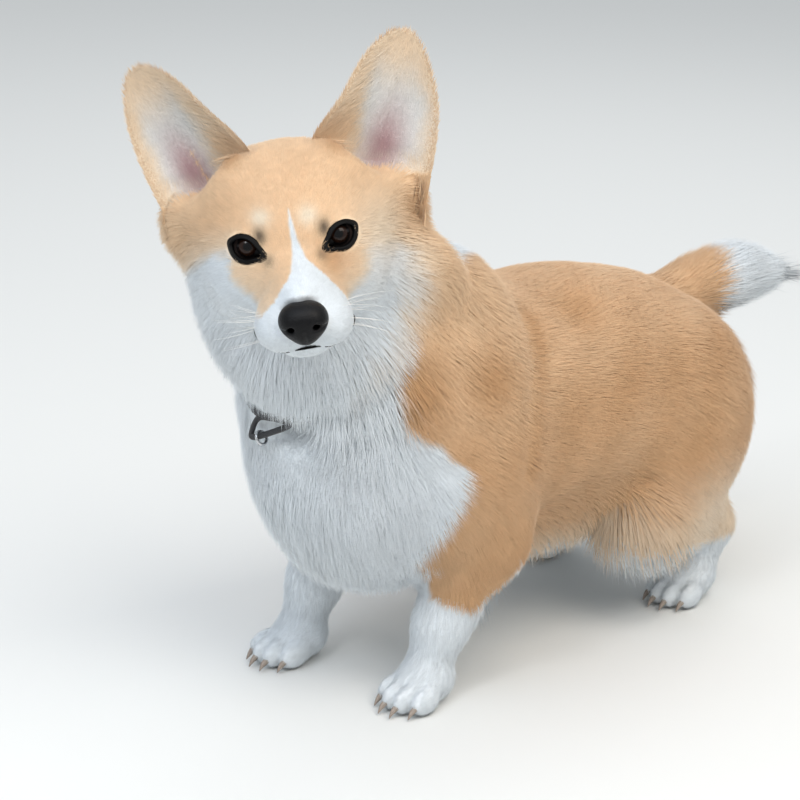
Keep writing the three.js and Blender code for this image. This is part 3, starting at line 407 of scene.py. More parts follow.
# Closed surface of a value below zero, from a grid of cells that is only filled near the surface
def surfaceNets(value, low, high, cell):
    stride = 4
    low = np.array(low, np.float32)
    count = (np.ceil((high - low) / cell / stride).astype(int) * stride) + 1
    axes = [np.arange(0, n, stride) for n in count]
    coarseAt = np.stack(np.meshgrid(*axes, indexing="ij"), -1)
    coarse = value((low + cell * coarseAt.reshape(-1, 3)).astype(np.float32)).reshape(coarseAt.shape[:3])
    grid = coarse
    for axis in range(3):
        grid = np.repeat(grid, stride, axis)
    grid = grid[:count[0], :count[1], :count[2]].copy()
    near = np.abs(coarse) < cell * stride * 1.7
    blocks = np.zeros(np.array(near.shape) - 1, bool)
    for i, j, k in np.ndindex(2, 2, 2):
        blocks |= near[i:i + blocks.shape[0], j:j + blocks.shape[1], k:k + blocks.shape[2]]
    inner = np.stack(np.meshgrid(*[np.arange(stride)] * 3, indexing="ij"), -1).reshape(-1, 3)
    spots = (np.argwhere(blocks)[:, None] * stride + inner).reshape(-1, 3)
    grid[tuple(spots.T)] = value((low + cell * spots).astype(np.float32))
    inside = grid < 0
    shape = np.array(grid.shape) - 1
    filled = sum(inside[i:i + shape[0], j:j + shape[1], k:k + shape[2]].astype(np.int8)
                 for i, j, k in np.ndindex(2, 2, 2))
    active = (filled > 0) & (filled < 8)
    cells = np.argwhere(active)
    number = np.full(shape, -1)
    number[active] = np.arange(len(cells))
    total, crossings = np.zeros((len(cells), 3)), np.zeros(len(cells))
    for corner in np.ndindex(2, 2, 2):
        for axis in range(3):
            if corner[axis]:
                continue
            step = np.eye(3, dtype=int)[axis]
            here, there = grid[tuple((cells + corner).T)], grid[tuple((cells + corner + step).T)]
            crossed = (here < 0) != (there < 0)
            t = np.where(crossed, here / np.where(crossed, here - there, 1), 0)
            total += np.where(crossed[:, None], corner + t[:, None] * step, 0)
            crossings += crossed
    vertices = low + cell * (cells + total / crossings[:, None])
    quads = []
    for axis in range(3):
        a, b = np.eye(3, dtype=int)[(axis + 1) % 3], np.eye(3, dtype=int)[(axis + 2) % 3]
        span = grid.shape[axis]
        first, second = inside.take(range(span - 1), axis), inside.take(range(1, span), axis)
        spots = np.argwhere(first != second)
        spots = spots[((spots @ a) > 0) & ((spots @ b) > 0)
                      & ((spots @ a) < (grid.shape @ a) - 1) & ((spots @ b) < (grid.shape @ b) - 1)]
        ring = np.stack([number[tuple((spots - move).T)] for move in (0 * a, a, a + b, b)], 1)
        quads.append(np.where(first[tuple(spots.T)][:, None], ring, ring[:, ::-1]))
    return vertices.astype(np.float32), np.concatenate(quads)


def makeMesh(name, points, faces, smoothed=True):
    mesh = bpy.data.meshes.new(name)
    points = toFrame(points)
    mesh.vertices.add(len(points))
    mesh.vertices.foreach_set("co", points.ravel())
    mesh.loops.add(faces.size)
    mesh.loops.foreach_set("vertex_index", faces.ravel().astype(np.int32))
    mesh.polygons.add(len(faces))
    mesh.polygons.foreach_set("loop_start", np.arange(0, faces.size, faces.shape[1], dtype=np.int32))
    mesh.update(calc_edges=True)
    if smoothed:
        mesh.shade_smooth()
    piece = bpy.data.objects.new(name, mesh)
    bpy.context.scene.collection.objects.link(piece)
    return piece


def wrappedFaces(rows, columns):  # a grid whose last row and column meet the first
    grid = np.arange(rows * columns).reshape(rows, columns)
    below, beside = np.roll(grid, -1, 0), np.roll(grid, -1, 1)
    return np.stack([grid, beside, np.roll(below, -1, 1), below], -1).reshape(-1, 4)


def pointsOf(piece):
    points = np.empty(len(piece.data.vertices) * 3, np.float32)
    piece.data.vertices.foreach_get("co", points)
    return points.reshape(-1, 3) * 1000 - shift.astype(np.float32)


def setShares(piece, shares):
    for name, values in shares.items():
        piece.data.attributes.new(name, "FLOAT", "POINT").data.foreach_set("value", values.astype(np.float32))


def finishPiece(piece, material, nodes=()):
    piece.data.materials.clear()
    piece.data.materials.append(material)
    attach(piece, "root")
    if nodes:
        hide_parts(*nodes)


# Ears: cupped leaves. A place on one is a share up its length, a share across it, and a distance before
# its middle.
ears = {"halfWidth": 37, "cup": 17, "rows": 48, "columns": 28}
earGains = {  # how much wider each half is low down, and the shares of the length over which that fades
    1: {"outer": (0.2, 0.5, 1.0), "inner": (0.27, 0.15, 0.55)},
    -1: {"outer": (0.02, 0.5, 1.0), "inner": (0.21, 0.2, 0.65)},
}
earFrames = {}
for s in (1, -1):
    root = np.array([-50, 56 if s > 0 else -53, 22])
    tip = np.array([-58, 95 if s > 0 else -90, 122])
    axis = unit(tip - root)
    outward = np.array([-0.05 if s > 0 else -0.25, s, 0])
    outward = unit(outward - axis * (outward @ axis))
    earFrames[s] = {"root": root, "length": np.linalg.norm(tip - root), "axis": axis, "outward": outward,
                    "front": unit(np.cross(outward, axis) * s)}


def earHalf(u, v, side):  # from the middle to the outer rim where v is positive, else to the inner rim
    plain = ears["halfWidth"] * np.sqrt(1 - np.clip(u, 0, 0.985) ** 2.6) * (1 - 0.1 * u)
    outer, inner = earGains[side]["outer"], earGains[side]["inner"]
    fades = [gain * (1 - smooth(low, high, u)) for gain, low, high in (outer, inner)]
    return plain * (1 + np.where(v > 0, *fades))


def earMiddle(u, v, side):
    return -ears["cup"] * (1 - 0.75 * u) * (1 - v * v) * earHalf(u, v, side) / ears["halfWidth"]


def earPlace(points, side):
    ear = earFrames[side]
    off = inHead(points) - ear["root"]
    u = off @ ear["axis"] / ear["length"]
    across = off @ ear["outward"]
    v = across / earHalf(u, across, side)
    return u, v, off @ ear["front"] - earMiddle(u, np.clip(v, -1, 1), side)


def earPoints(side, u, v, before):
    ear = earFrames[side]
    off = (ear["axis"] * (u * ear["length"])[..., None]
           + ear["outward"] * (earHalf(u, v, side) * v)[..., None]
           + ear["front"] * (earMiddle(u, v, side) + before)[..., None])
    return onHead(ear["root"] + off)


def makeEar(side):
    rows, columns = ears["rows"], ears["columns"]
    u, v = np.meshgrid(np.linspace(-0.1, 0.985, rows + 1), np.linspace(-1, 1, columns + 1), indexing="ij")
    v = np.sin(v * math.pi / 2)  # closer together near the rims
    thickness = np.maximum((5.5 - 2.5 * u) * (1 - 0.55 * v * v) - 1.8, 1.1) * np.sqrt(1.02 - v * v)
    inset = 1 - 1.4 / earHalf(u, v, side)
    faces = [earPoints(side, u, v * inset, face * thickness / 2).reshape(-1, 3) for face in (1, -1)]
    sheet = (rows + 1) * (columns + 1)
    at = np.arange(sheet).reshape(rows + 1, columns + 1)
    a, b, c, d = at[:-1, :-1].ravel(), at[:-1, 1:].ravel(), at[1:, 1:].ravel(), at[1:, :-1].ravel()
    quads = [np.stack([a, b, c, d], 1), sheet + np.stack([a, d, c, b], 1)]
    for edge, flip in ((at[:, 0], 1), (at[:, -1], -1), (at[0], -1), (at[-1], 1)):
        here, there = edge[:-1], edge[1:]
        quads.append(np.stack([here, there, sheet + there, sheet + here], 1)[:, ::flip])
    quads = np.concatenate(quads)
    return makeMesh("ear", np.concatenate(faces), quads if side > 0 else quads[:, ::-1])


def makeSkin():
    cell = 3
    points, quads = surfaceNets(skinValue, (-140, -250, -6), (150, 440, 450), cell)
    for _ in range(2):
        value, normal = slope(points, skinValue)
        points = points - normal * np.clip(value, -1, 1)[:, None]
    skin = makeMesh("skin", points, quads)
    for s in (1, -1):
        ear = makeEar(s)
        join = skin.modifiers.new("ear", "BOOLEAN")
        join.operation, join.solver, join.object = "UNION", "MANIFOLD", ear
        mesh = bpy.data.meshes.new_from_object(skin.evaluated_get(bpy.context.evaluated_depsgraph_get()))
        skin.modifiers.clear()
        skin.data = mesh
        bpy.data.objects.remove(ear)
    bm = bmesh.new()
    bm.from_mesh(skin.data)
    places = inHead(pointsOf(skin))
    near = (places[:, 0] > -20) & (places[:, 2] > -78) & (places[:, 2] < 36)
    edges = [edge for edge in bm.edges if near[edge.verts[0].index] and near[edge.verts[1].index]]
    bmesh.ops.subdivide_edges(bm, edges=edges, cuts=1, use_grid_fill=True)
    bmesh.ops.triangulate(bm, faces=[face for face in bm.faces if len(face.verts) > 4])
    bm.to_mesh(skin.data)
    bm.free()
    places = pointsOf(skin)
    inner = inHead(places)
    face = (inner[:, 0] > -22) & (inner[:, 2] > -80) & (inner[:, 2] < 38)

    def faceValue(points):
        part = inHead(points)
        value = skinValue(points)
        for distance, _ in grooveForms:
            away = distance(part)
            value = np.maximum(value, -blended(away, away, 1))
        return value
    for _ in range(3):
        value, normal = slope(places[face], faceValue, 0.4)
        places[face] -= normal * np.clip(value, -0.8, 0.8)[:, None]
    skin.data.vertices.foreach_set("co", toFrame(places).ravel())
    skin.data.shade_smooth()
    return skin


skin = makeSkin()
print("skin:", len(skin.data.vertices), "points,", len(skin.data.polygons), "faces")


# Markings, the same for hide and coat. Shares from 0 to 1 of white, cream, darker fawn, dark and pink; the
# darker fawn share also holds painted shade along the crease behind the shoulder and in the hollow above the
# loin.

def wobble(points, size, seed):
    draws = np.random.default_rng(seed)
    ways = draws.normal(size=(3, 4)) / size
    return np.sin(points @ ways + draws.uniform(0, 6.28, 4)).mean(-1)


edges = {
    "cheekAt": (-90, -55, -24, -8, 0, 9, 22, 40, 58), "cheek": (-50, -26, -8, -1, 0, -16, -27, -29, -27),
    "blazeAt": (4, 8, 12, 16, 24, 31, 35, 42), "blazeLeft": (0, 0.8, 2.6, 5, 8, 14, 24, 60),
    "blazeRightAt": (4, 8, 16, 24, 35, 50, 56, 59), "blazeRight": (0, 0.6, 1.4, 2.4, 3.4, 6, 16, 60),
    "ruffAt": (-170, -120, -106, -76, -26, -6), "ruffLeft": (-18, -19, -21, -33, -37, -20),
    "ruffRight": (-86, -80, -74, -66, -62, -50),
    "bibAt": (100, 144, 150, 166, 180, 197, 210, 221, 225, 234, 249, 268, 300, 340),
    "bib": (-60, -66, -60, -54, -51, -49, -64, -70, -79, -87, -92, -90, -78, -70),
}
napeForm = bone((47, -24, 348), (8, 38, 324), 14, 11, 1)
patches = {  # place, size and strength; the shoulder's in the dog's frame, the others in the head's
    "cream": [((4, -20, 22), (12, 7, 6), 1.1), ((7, 12, 20), (12, 7, 6.5), 1.1),
              ((-14, 60, -8), (30, 28, 30), 0.8)],
    "deepFawnAndShade": [((-56, 87, -2), (17, 16, 13), 0.6), ((-42, 38, 56), (14, 9, 12), 0.55),
             ((-42, -36, 56), (14, 9, 12), 0.55), ((12, 24, -8), (16, 10, 12), 0.55)],
    "shoulder": [((78, -78, 258), (36, 32, 36), 0.55), ((98, -26, 262), (36, 36, 26), 0.55)],
    "dark": [],
}
for s in (1, -1):
    patches["dark"] += [((6, 21.8 * s, 10), (10, 4.2, 5.6), 0.85), ((10, 17.5 * s, -6), (9, 4.4, 4), 0.9),
                        ((44, 32 * s, -46), (3, 6, 4.5), 0.7)]


def patch(points, name):
    return np.max([nearness(points, at, size) * strength for at, size, strength in patches[name]], axis=0)


def markings(points):
    inner = inHead(points)
    f, l, u = inner.T
    x, y, z = points.T
    onFace = smooth(-18, 6, bodyValue(points) - headValue(inner))
    rough = wobble(points, 5, 3) * 2.4 + wobble(points, 14, 4) * 3
    blaze = np.minimum(np.interp(f, edges["blazeAt"], edges["blazeLeft"]) - l,
                       l + np.interp(f, edges["blazeRightAt"], edges["blazeRight"]))
    blaze = np.where((f > 4) & (u < 26), blaze, -9)
    cheek = np.interp(f, edges["cheekAt"], edges["cheek"]) - u
    leftCheek = smooth(8, 30, l) * smooth(-64, -36, u) * smooth(-50, -20, f)
    cheek = cheek - 9 * leftCheek
    ruffEdge = [np.interp(u, edges["ruffAt"], edges[name]) for name in ("ruffLeft", "ruffRight")]
    ruff = f - ruffEdge[0] - (ruffEdge[1] - ruffEdge[0]) * smooth(24, -24, l)
    lower = np.minimum(cheek, ruff)
    cheekWhite = smooth(-5 - 3 * leftCheek, 7 + 7 * leftCheek, lower + rough)
    headWhite = np.maximum(smooth(-1.2, 1.2, blaze + 0.25 * rough), cheekWhite)
    headWhite = headWhite * (1 - 0.5 * nearness(inner, (-16, 62, -10), 26))
    bib = np.interp(z, edges["bibAt"], edges["bib"]) - y
    bib = np.where(np.abs(x) < 52, np.maximum(bib, -62 - y + (150 - z) * 0.4), bib)
    bib = bib - 80 * smooth(300, 330, z)
    nape = -napeForm[0](points)
    tail = (x - 14) * 0.3 + (y - 350) * 0.95 + (z - 248) * 0.08
    side = np.sign(x)
    outer = x * side - (66 + 0.08 * (z - 60))
    foreTop = 74 + 0.45 * np.abs(y + 24)
    foreFawn = np.minimum.reduce([outer + 4, z - foreTop, y + 52, 4 - y])
    foreLeg = np.where((y < 36) & (z < 118 - 0.9 * np.maximum(y - 2, 0)), -foreFawn, -30)
    hindLeg = np.where(y > 140, 58 - z - 0.1 * (y - 260), -30)
    belly = np.where((z < 108) & (y > 20) & (y < 300), 50 - np.abs(x), -30)
    bodyWhite = np.maximum.reduce([bib, nape, tail, foreLeg, hindLeg, belly])
    bodyWhite = smooth(-4, 4, bodyWhite + rough)
    ruffWhite = smooth(-8, 6, lower + rough) * smooth(225, 250, z)
    white = onFace * headWhite + (1 - onFace) * np.maximum(bodyWhite, ruffWhite)
    cream = np.maximum(patch(inner, "cream"), smooth(-24, 2, lower + rough) * 0.62 * onFace)
    pale = np.maximum(smooth(160, 80, z) * smooth(130, 230, y), 0.8 * smooth(118, 92, z) * smooth(40, 90, y))
    cream = np.maximum(cream, pale * 0.75 * (1 - onFace))
    # painted shade: the darker fawn share is raised along the hide's crease behind the shoulder and in the
    # hollow above the loin
    crease = np.min([distance(points) for distance, _ in creaseForms], axis=0)
    deepFawnAndShade = np.maximum.reduce([patch(inner, "deepFawnAndShade"), patch(points, "shoulder"),
                              np.exp(-(crease / 8) ** 2) * 0.4, nearness(points, hollowAt, 26) * 0.3])
    bodyDeep = 0.5 - 0.22 * smooth(215, 275, z) - 0.25 * smooth(60, 10, y) * smooth(180, 240, z)
    deepFawnAndShade = np.clip(deepFawnAndShade + 0.14 * wobble(points, 22, 8) + 0.06 + (1 - onFace) * bodyDeep, 0, 1)
    noseEdge = smooth(4, -1, noseValue(inner) + 2 * wobble(points, 3, 5))
    dark = np.maximum(patch(inner, "dark"), noseEdge * (f > 55) * (u > -24) * 0.7)
    dark = np.maximum(dark, smooth(soleLevel + 3, soleLevel + 1, z) * 0.85)
    pink = np.zeros(len(points), np.float32)
    for s in (1, -1):
        eu, ev, before = earPlace(points, s)
        onEar = (eu > -0.05) & (eu < 1.02) & (np.abs(ev) < 1.1) & (np.abs(before) < 6) & (u > 20)
        edge = np.abs(ev) + 0.2 * rough / 5 + 0.6 * (ev < 0) * np.clip(1 - eu, 0, 1) ** 2
        inside = smooth(0.95, 0.5, edge) * smooth(0.9, 0.5, eu) * smooth(18, 34, u)
        inside = np.where(onEar & (before > 0), inside, 0)
        white = np.where(onEar, inside * 0.75, white)
        low = 0.5 * smooth(0.5, 0.1, eu)
        cream = np.where(onEar, np.where(before > 0, 0.62 - low * (ev < -0.5), 0.25), cream)
        deepFawnAndShade = np.where(onEar, np.where(before > 0, low * smooth(-0.55, -0.9, ev), 0.3), deepFawnAndShade)
        bare = 0.9 * np.exp(-(((eu - 0.2) / 0.26) ** 2 + ((ev - 0.16) / 0.32) ** 2))
        pink = np.where(onEar, inside * bare, pink)
        dark = np.where(onEar, 0, dark)
    return {"whiteShare": white, "creamShare": cream, "deepFawnAndShadeShare": deepFawnAndShade, "darkShare": dark, "pinkShare": pink}


# the white is tinted blue as painted skylight
coatColours = {"fawn": "#F0D0AA", "deepFawnAndShade": "#C48F58", "cream": "#F2E4CE", "white": "#EAF0F4",
               "dark": "#1B1516", "pink": "#B58D92"}


def coatColour(tree, shade):  # the markings over fawn, lighter or darker by the shade
    colour = hexColour(coatColours["fawn"])
    for name in ("deepFawnAndShade", "cream", "white", "pink", "dark"):
        colour = mixColour(tree, readShare(tree, name + "Share"), colour, hexColour(coatColours[name]))
    grey = addNode(tree, "ShaderNodeCombineColor", {0: shade, 1: shade, 2: shade})
    return mixColour(tree, 1, colour, grey.outputs[0], "MULTIPLY")


# Corgi double coat: guard hairs over wool, matt with a slight sheen, each lock painted darker towards its root
# as shade down in the coat
def coatMaterial():
    material, tree = newMaterial("corgiDoubleCoat")
    chance = mapped(tree, readShare(tree, "chance"), 0.88, 1.08)
    # painted shade: each tuft darker at its root than at its tip
    along = mapped(tree, readShare(tree, "along"), 0.88, 1.03)
    shade = addNode(tree, "ShaderNodeMath", {0: chance, 1: along}, operation="MULTIPLY")
    finishMaterial(tree, {"Base Color": coatColour(tree, shade.outputs[0]), "Roughness": 0.62,
                          "Specular IOR Level": 0.3, "Sheen Weight": 0.12, "Sheen Roughness": 0.5})
    return material


# The hide below: the same markings, with the nap of short hair as streaks about 1 mm apart and 10 mm long
def hideMaterial():
    material, tree = newMaterial("hideWithShortNap")
    place = addNode(tree, "ShaderNodeTexCoord").outputs["Object"]
    streaks = addNode(tree, "ShaderNodeMapping", {"Vector": place, "Scale": (1000, 100, 1000)})
    noise = addNode(tree, "ShaderNodeTexNoise", {"Vector": streaks.outputs[0], "Scale": 1, "Detail": 2})
    nap = noise.outputs[0]
    finishMaterial(tree, {"Base Color": coatColour(tree, mapped(tree, nap, 0.84, 1.02)), "Roughness": 0.75,
                          "Specular IOR Level": 0.25, "Normal": bumped(tree, nap, 0.0006, 0.7)})
    return material


coatLook, hideLook = coatMaterial(), hideMaterial()
setShares(skin, markings(pointsOf(skin)))
fleshNodes = [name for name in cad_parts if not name.startswith(("eye_", "nose_", "collar_"))]
finishPiece(skin, hideLook, fleshNodes)
print("markings done")


# Coat: three-sided tufts that taper to a point, rooted in the hide, set along the lie of the hair

skin.data.calc_loop_triangles()
skinPoints = pointsOf(skin)
skinTriangles = np.empty(len(skin.data.loop_triangles) * 3, np.int32)
skin.data.loop_triangles.foreach_get("vertices", skinTriangles)
skinTriangles = skinTriangles.reshape(-1, 3)
corners = skinPoints[skinTriangles]
triangleCross = np.cross(corners[:, 1] - corners[:, 0], corners[:, 2] - corners[:, 0])
triangleArea = np.linalg.norm(triangleCross, axis=-1) / 2
triangleNormal = unit(triangleCross)
middles = corners.mean(1)
middleInHead = inHead(middles)


def onAnyEar(points, room=5):
    found = np.zeros(len(points), int)
    for s in (1, -1):
        u, v, before = earPlace(points, s)
        on = (u > 0.02) & (u < 1.02) & (np.abs(v) < 1.05) & (np.abs(before) < room)
        on &= inHead(points)[:, 2] > 20
        found[on] = s
    return found


def eyeDistance(inner):  # how far a place lies outside the rims, as a share of their size
    found = np.full(len(inner), 9.0)
    for s in (1, -1):
        way, outer, upright = eyeAxes(s)
        off = inner - np.array(eyes["at"]) * (1, s, 1)
        a, b = off @ outer, off @ upright
        size = np.sqrt((a / np.where(a > 0, 13, 16.5)) ** 2 + (b / 9.8) ** 2)
        found = np.minimum(found, np.where(off @ way > 0, size, 9))
    return found


# The nearest of many scattered points, about one to each cube of that size
def nearestKnot(points, size, seed):
    cell = np.floor(points / size).astype(int)
    best, found = np.full(len(points), 1e9), np.zeros_like(points)
    chance = np.zeros(len(points))
    for move in np.ndindex(3, 3, 3):
        at = cell + np.array(move) - 1
        key = (at * (73856093, 19349663, 83492791)).sum(-1) + seed
        draw = [np.modf(np.abs(np.sin(key * k) * 43758.5453))[0] for k in (0.0127, 0.0311, 0.0743)]
        draw = np.stack(draw, -1)
        knot = (at + draw) * size
        away = squared(points - knot)
        closer = away < best
        best[closer], found[closer], chance[closer] = away[closer], knot[closer], draw[closer, 0]
    return found, chance


def scatter(mask, density, seed):
    draws = np.random.default_rng(seed)
    weight = np.where(mask, triangleArea * density, 0)
    total = np.cumsum(weight)
    count = int(total[-1])
    marks = (np.arange(count) + draws.uniform(0, 1, count)) * total[-1] / count
    chosen = np.searchsorted(total, marks)
    a, b = draws.uniform(0, 1, (2, count))
    a, b = np.where(a + b > 1, 1 - a, a), np.where(a + b > 1, 1 - b, b)
    spots = corners[chosen]
    roots = spots[:, 0] + a[:, None] * (spots[:, 1] - spots[:, 0]) + b[:, None] * (spots[:, 2] - spots[:, 0])
    return roots.astype(np.float32), triangleNormal[chosen].astype(np.float32), draws


def ballUnwrap(centre, frameAxes=np.eye(3)):
    def unwrap(roots):
        off = (roots - centre) @ np.asarray(frameAxes).T
        around = np.arctan2(off[:, 1], off[:, 0]) / (2 * math.pi) + 0.5
        return np.stack([around, np.arcsin(np.clip(unit(off)[:, 2], -1, 1)) / math.pi + 0.5], -1)
    return unwrap


def barrelUnwrap(roots):  # round the spine and along it
    x, y, z = roots.T
    return np.stack([(y + 120) / 480, np.arctan2(x, z - 180) / (2 * math.pi) + 0.5], -1)


def legUnwrap(roots):  # a quarter of the map for each leg, round it and up it
    x, y, z = roots.T
    fore = y < 120
    side = np.where(x > 0, 1, -1)
    around = np.arctan2(x - 68 * side, y - np.where(fore, -25, 260)) / (2 * math.pi) + 0.5
    return np.stack([(x > 0) * 0.5 + around * 0.48, fore * 0.5 + np.clip(z / 190, 0, 1) * 0.48], -1)


def tailUnwrap(roots):
    x, y, z = roots.T
    spine = np.array([at for at, _ in tailPath], float)
    cx, cz = np.interp(y, spine[:, 1], spine[:, 0]), np.interp(y, spine[:, 1], spine[:, 2])
    return np.stack([(y - 260) / 190, np.arctan2(x - cx, z - cz) / (2 * math.pi) + 0.5], -1)


def earUnwrap(roots):  # a quarter for the inside and the outside of each ear
    side = np.where(inHead(roots)[:, 1] > 0, 1, -1)
    spots = np.zeros((len(roots), 2))
    for s in (1, -1):
        u, v, before = earPlace(roots, s)
        here = np.stack([(s > 0) * 0.5 + 0.24 + 0.2 * v, (before > 0) * 0.5 + 0.03 + 0.44 * u], -1)
        spots[side == s] = here[side == s]
    return spots


loopAt = np.array((-10, -136, 220))
tailEnd, flankReach = 396, 130


def held(spots):  # above the floor, and no fringe stands out past the flanks
    spots[:, 2] = np.maximum(spots[:, 2], soleLevel + 0.1)
    spots[:, 0] = np.clip(spots[:, 0], -flankReach, flankReach)
    return spots


def growTufts(name, roots, normals, lie, sizes, unwrap, draws, thick, clump, onSkin=True):
    lie = lie + draws.normal(0, 0.1, lie.shape)
    outward = (lie * normals).sum(-1, keepdims=True)
    brush = (roots[:, 1:2] > tailEnd) & (outward > 0.6)  # the hair at the tail's end points straight on
    lie = unit(lie - normals * np.where(brush, 0, outward))
    byLoop = 1 - smooth(20, 56, np.linalg.norm(roots - loopAt, axis=-1))  # worn flat where the collar shows
    byLoop = byLoop * np.where((roots - collarMiddle) @ collarWay > 4, 0.55, 1)
    length = sizes[0] * draws.uniform(0.75, 1.2, len(roots)) * (1 - 0.72 * byLoop)
    length = length * np.where(brush[:, 0], 0.78, 1)
    ends = (roots, roots + lie * length[:, None])
    overStrap = np.sort([(places - collarMiddle) @ collarWay for places in ends], 0)
    keep = (byLoop < 0.1) | (overStrap[0] > 4) | (overStrap[1] < -4)
    roots, normals, lie, length, byLoop, brush, width, height = (
        values[keep] for values in (roots, normals, lie, length, byLoop, brush, *sizes[1:]))
    count = len(roots)
    knot, knotChance = nearestKnot(roots, clump["size"], 11)
    pull = roots - knot
    pull = pull - normals * (pull * normals).sum(-1, keepdims=True)
    height = height * (0.86 + 0.28 * knotChance) * draws.uniform(0.65, 1.12, count) * (1 - 0.85 * byLoop)
    root, tip = held(roots.astype(float) - 0.5 * normals), roots + lie * length[:, None] - pull * clump["pull"]
    if onSkin:
        value, tipNormal = slope(tip.astype(np.float32), hideValue)
        tip = np.where(brush, tip, tip + tipNormal * np.clip(height - value, -26, 26)[:, None])
    else:
        tip, tipNormal = tip + normals * height[:, None], normals
    tip = held(tip)
    side = unit(np.cross(normals, lie))
    spots, facing, under = [], [], []
    for across, upward in ((0.5, -0.2), (0, 0.2), (-0.5, -0.2)):
        spots.append(root + (side * across + normals * upward) * (width * thick)[:, None])
        facing.append(unit(normals + side * across * 0.9))
        under.append(unit(side * across * 0.9 - normals))
    faces = np.array([(0, 2, 1), (0, 1, 3), (1, 2, 3), (2, 0, 3)])  # base, two upper sides, the side below
    below = np.array([True, False, False, True])[:, None, None]
    triangles = (np.arange(count)[:, None, None] * 4 + faces).reshape(-1, 3)
    coat = makeMesh(name, np.stack(spots + [tip], 1).reshape(-1, 3), triangles)
    under, facing = np.stack(under + [-tipNormal], 1)[:, faces], np.stack(facing + [tipNormal], 1)[:, faces]
    facing = np.where(below, under, facing)
    shares = markings((0.45 * roots + 0.55 * tip if onSkin else roots).astype(np.float32))
    shares["chance"] = np.clip(0.5 * knotChance + draws.uniform(0, 0.5, count), 0, 1)
    setShares(coat, {key: np.repeat(values, 4) for key, values in shares.items()})
    along = np.array([0, 0, 0, 1])
    setShares(coat, {"along": np.tile(along, count)})
    patchWidth = 0.003
    local = np.stack([[-0.5, 0, 0.5, 0], along - 0.5], -1) * patchWidth
    base = np.clip(unwrap(roots), 0.004, 0.996)
    spread = (base[:, None] + local).reshape(-1, 2)[triangles.ravel()]
    layer = coat.data.uv_layers.new(name="OFBake")
    layer.data.foreach_set("uv", spread.astype(np.float32).ravel())
    coat.data.normals_split_custom_set(facing.reshape(-1, 3).astype(np.float32))
    finishPiece(coat, coatLook)
    print(name + ":", count, "tufts,", len(triangles), "triangles")


short, fine = 1.1, 1.5  # how thick a tuft's root is, as a share of its width
earSide = onAnyEar(middles)
headGain = bodyValue(middles) - headValue(middleInHead)
f, l, u = middleInHead.T
x, y, z = middles.T
isOpen = (eyeDistance(middleInHead) > 1.0) & (noseValue(middleInHead) > -0.4) & (z > soleLevel + 1)
onHeadPart = (headGain > 0) & (earSide == 0)
isFace = onHeadPart & (f > -14) & (u > -76) & (u < 40)
isCrown = onHeadPart & ~isFace & (u > -22)
tailLine = joined([bone(a, b, 0, 0, 1) for (a, _), (b, _) in zip(tailPath, tailPath[1:])])(middles)
isTail = (tailLine < 34) & (y > 296) & (z > 196)
isLeg = (z < 112) & (np.abs(x) > 30) & (((y > -130) & (y < 62)) | (y > 150)) & ~isTail & (earSide == 0)
isLeg &= (z < 70) | (joined(legForms)(middles) < 3)
rest = (earSide == 0) & ~isFace & ~isCrown & ~isTail & ~isLeg
isRuff = rest & ((headGain > 0) | ((z > 236) & (y < -20)))
rest &= ~isRuff
isBib = rest & (y < -30) & (np.abs(x) < 92)
rest &= ~isBib
isRump = rest & (y > 196)
rest &= ~isRump
headUnwrap = ballUnwrap(onHead((-50, 0, -12)), headAxes)
chestUnwrap = ballUnwrap((0, -40, 170), [[0, -1, 0], [1, 0, 0], [0, 0, 1]])
rumpUnwrap = ballUnwrap((0, 230, 175), [[0, 1, 0], [1, 0, 0], [0, 0, 1]])
coats = [  # name, where, thickness, clumps, unwrap, most tufts
    ("coat_face", isFace, short, {"size": 3, "pull": 0.2}, headUnwrap, 46000),
    ("coat_crown", isCrown, short, {"size": 5, "pull": 0.2}, headUnwrap, 35000),
    ("coat_ruff", isRuff, fine, {"size": 10, "pull": 0.16}, headUnwrap, 48500),
    ("coat_bib", isBib, fine, {"size": 11, "pull": 0.18}, chestUnwrap, 41000),
    ("coat_flank_left", rest & (x > 0), fine, {"size": 9, "pull": 0.16}, barrelUnwrap, 46000),
    ("coat_flank_right", rest & (x <= 0), fine, {"size": 9, "pull": 0.16}, barrelUnwrap, 37000),
    ("coat_rump", isRump, fine, {"size": 9, "pull": 0.16}, rumpUnwrap, 43500),
    ("coat_legs", isLeg, fine, {"size": 6, "pull": 0.25}, legUnwrap, 37000),
    ("coat_tail", isTail, fine, {"size": 11, "pull": 0.25}, tailUnwrap, 16000),
]
middleCoat = coatAt(middles)
for number, (name, mask, thick, clump, unwrap, most) in enumerate(coats):
    density = np.where(mask & isOpen, 1 / (middleCoat[:, 3] * middleCoat[:, 4]), 0)
    density = density * most * 1 / (triangleArea * density).sum()
    roots, normals, draws = scatter(mask, density, 100 + number)
    rules = coatAt(roots)
    width = rules[:, 4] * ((0.72 if thick == short else 0.5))
    sizes = (rules[:, 3], width, rules[:, 5])
    growTufts(name, roots, normals, rules[:, :3], sizes, unwrap, draws, thick, clump)

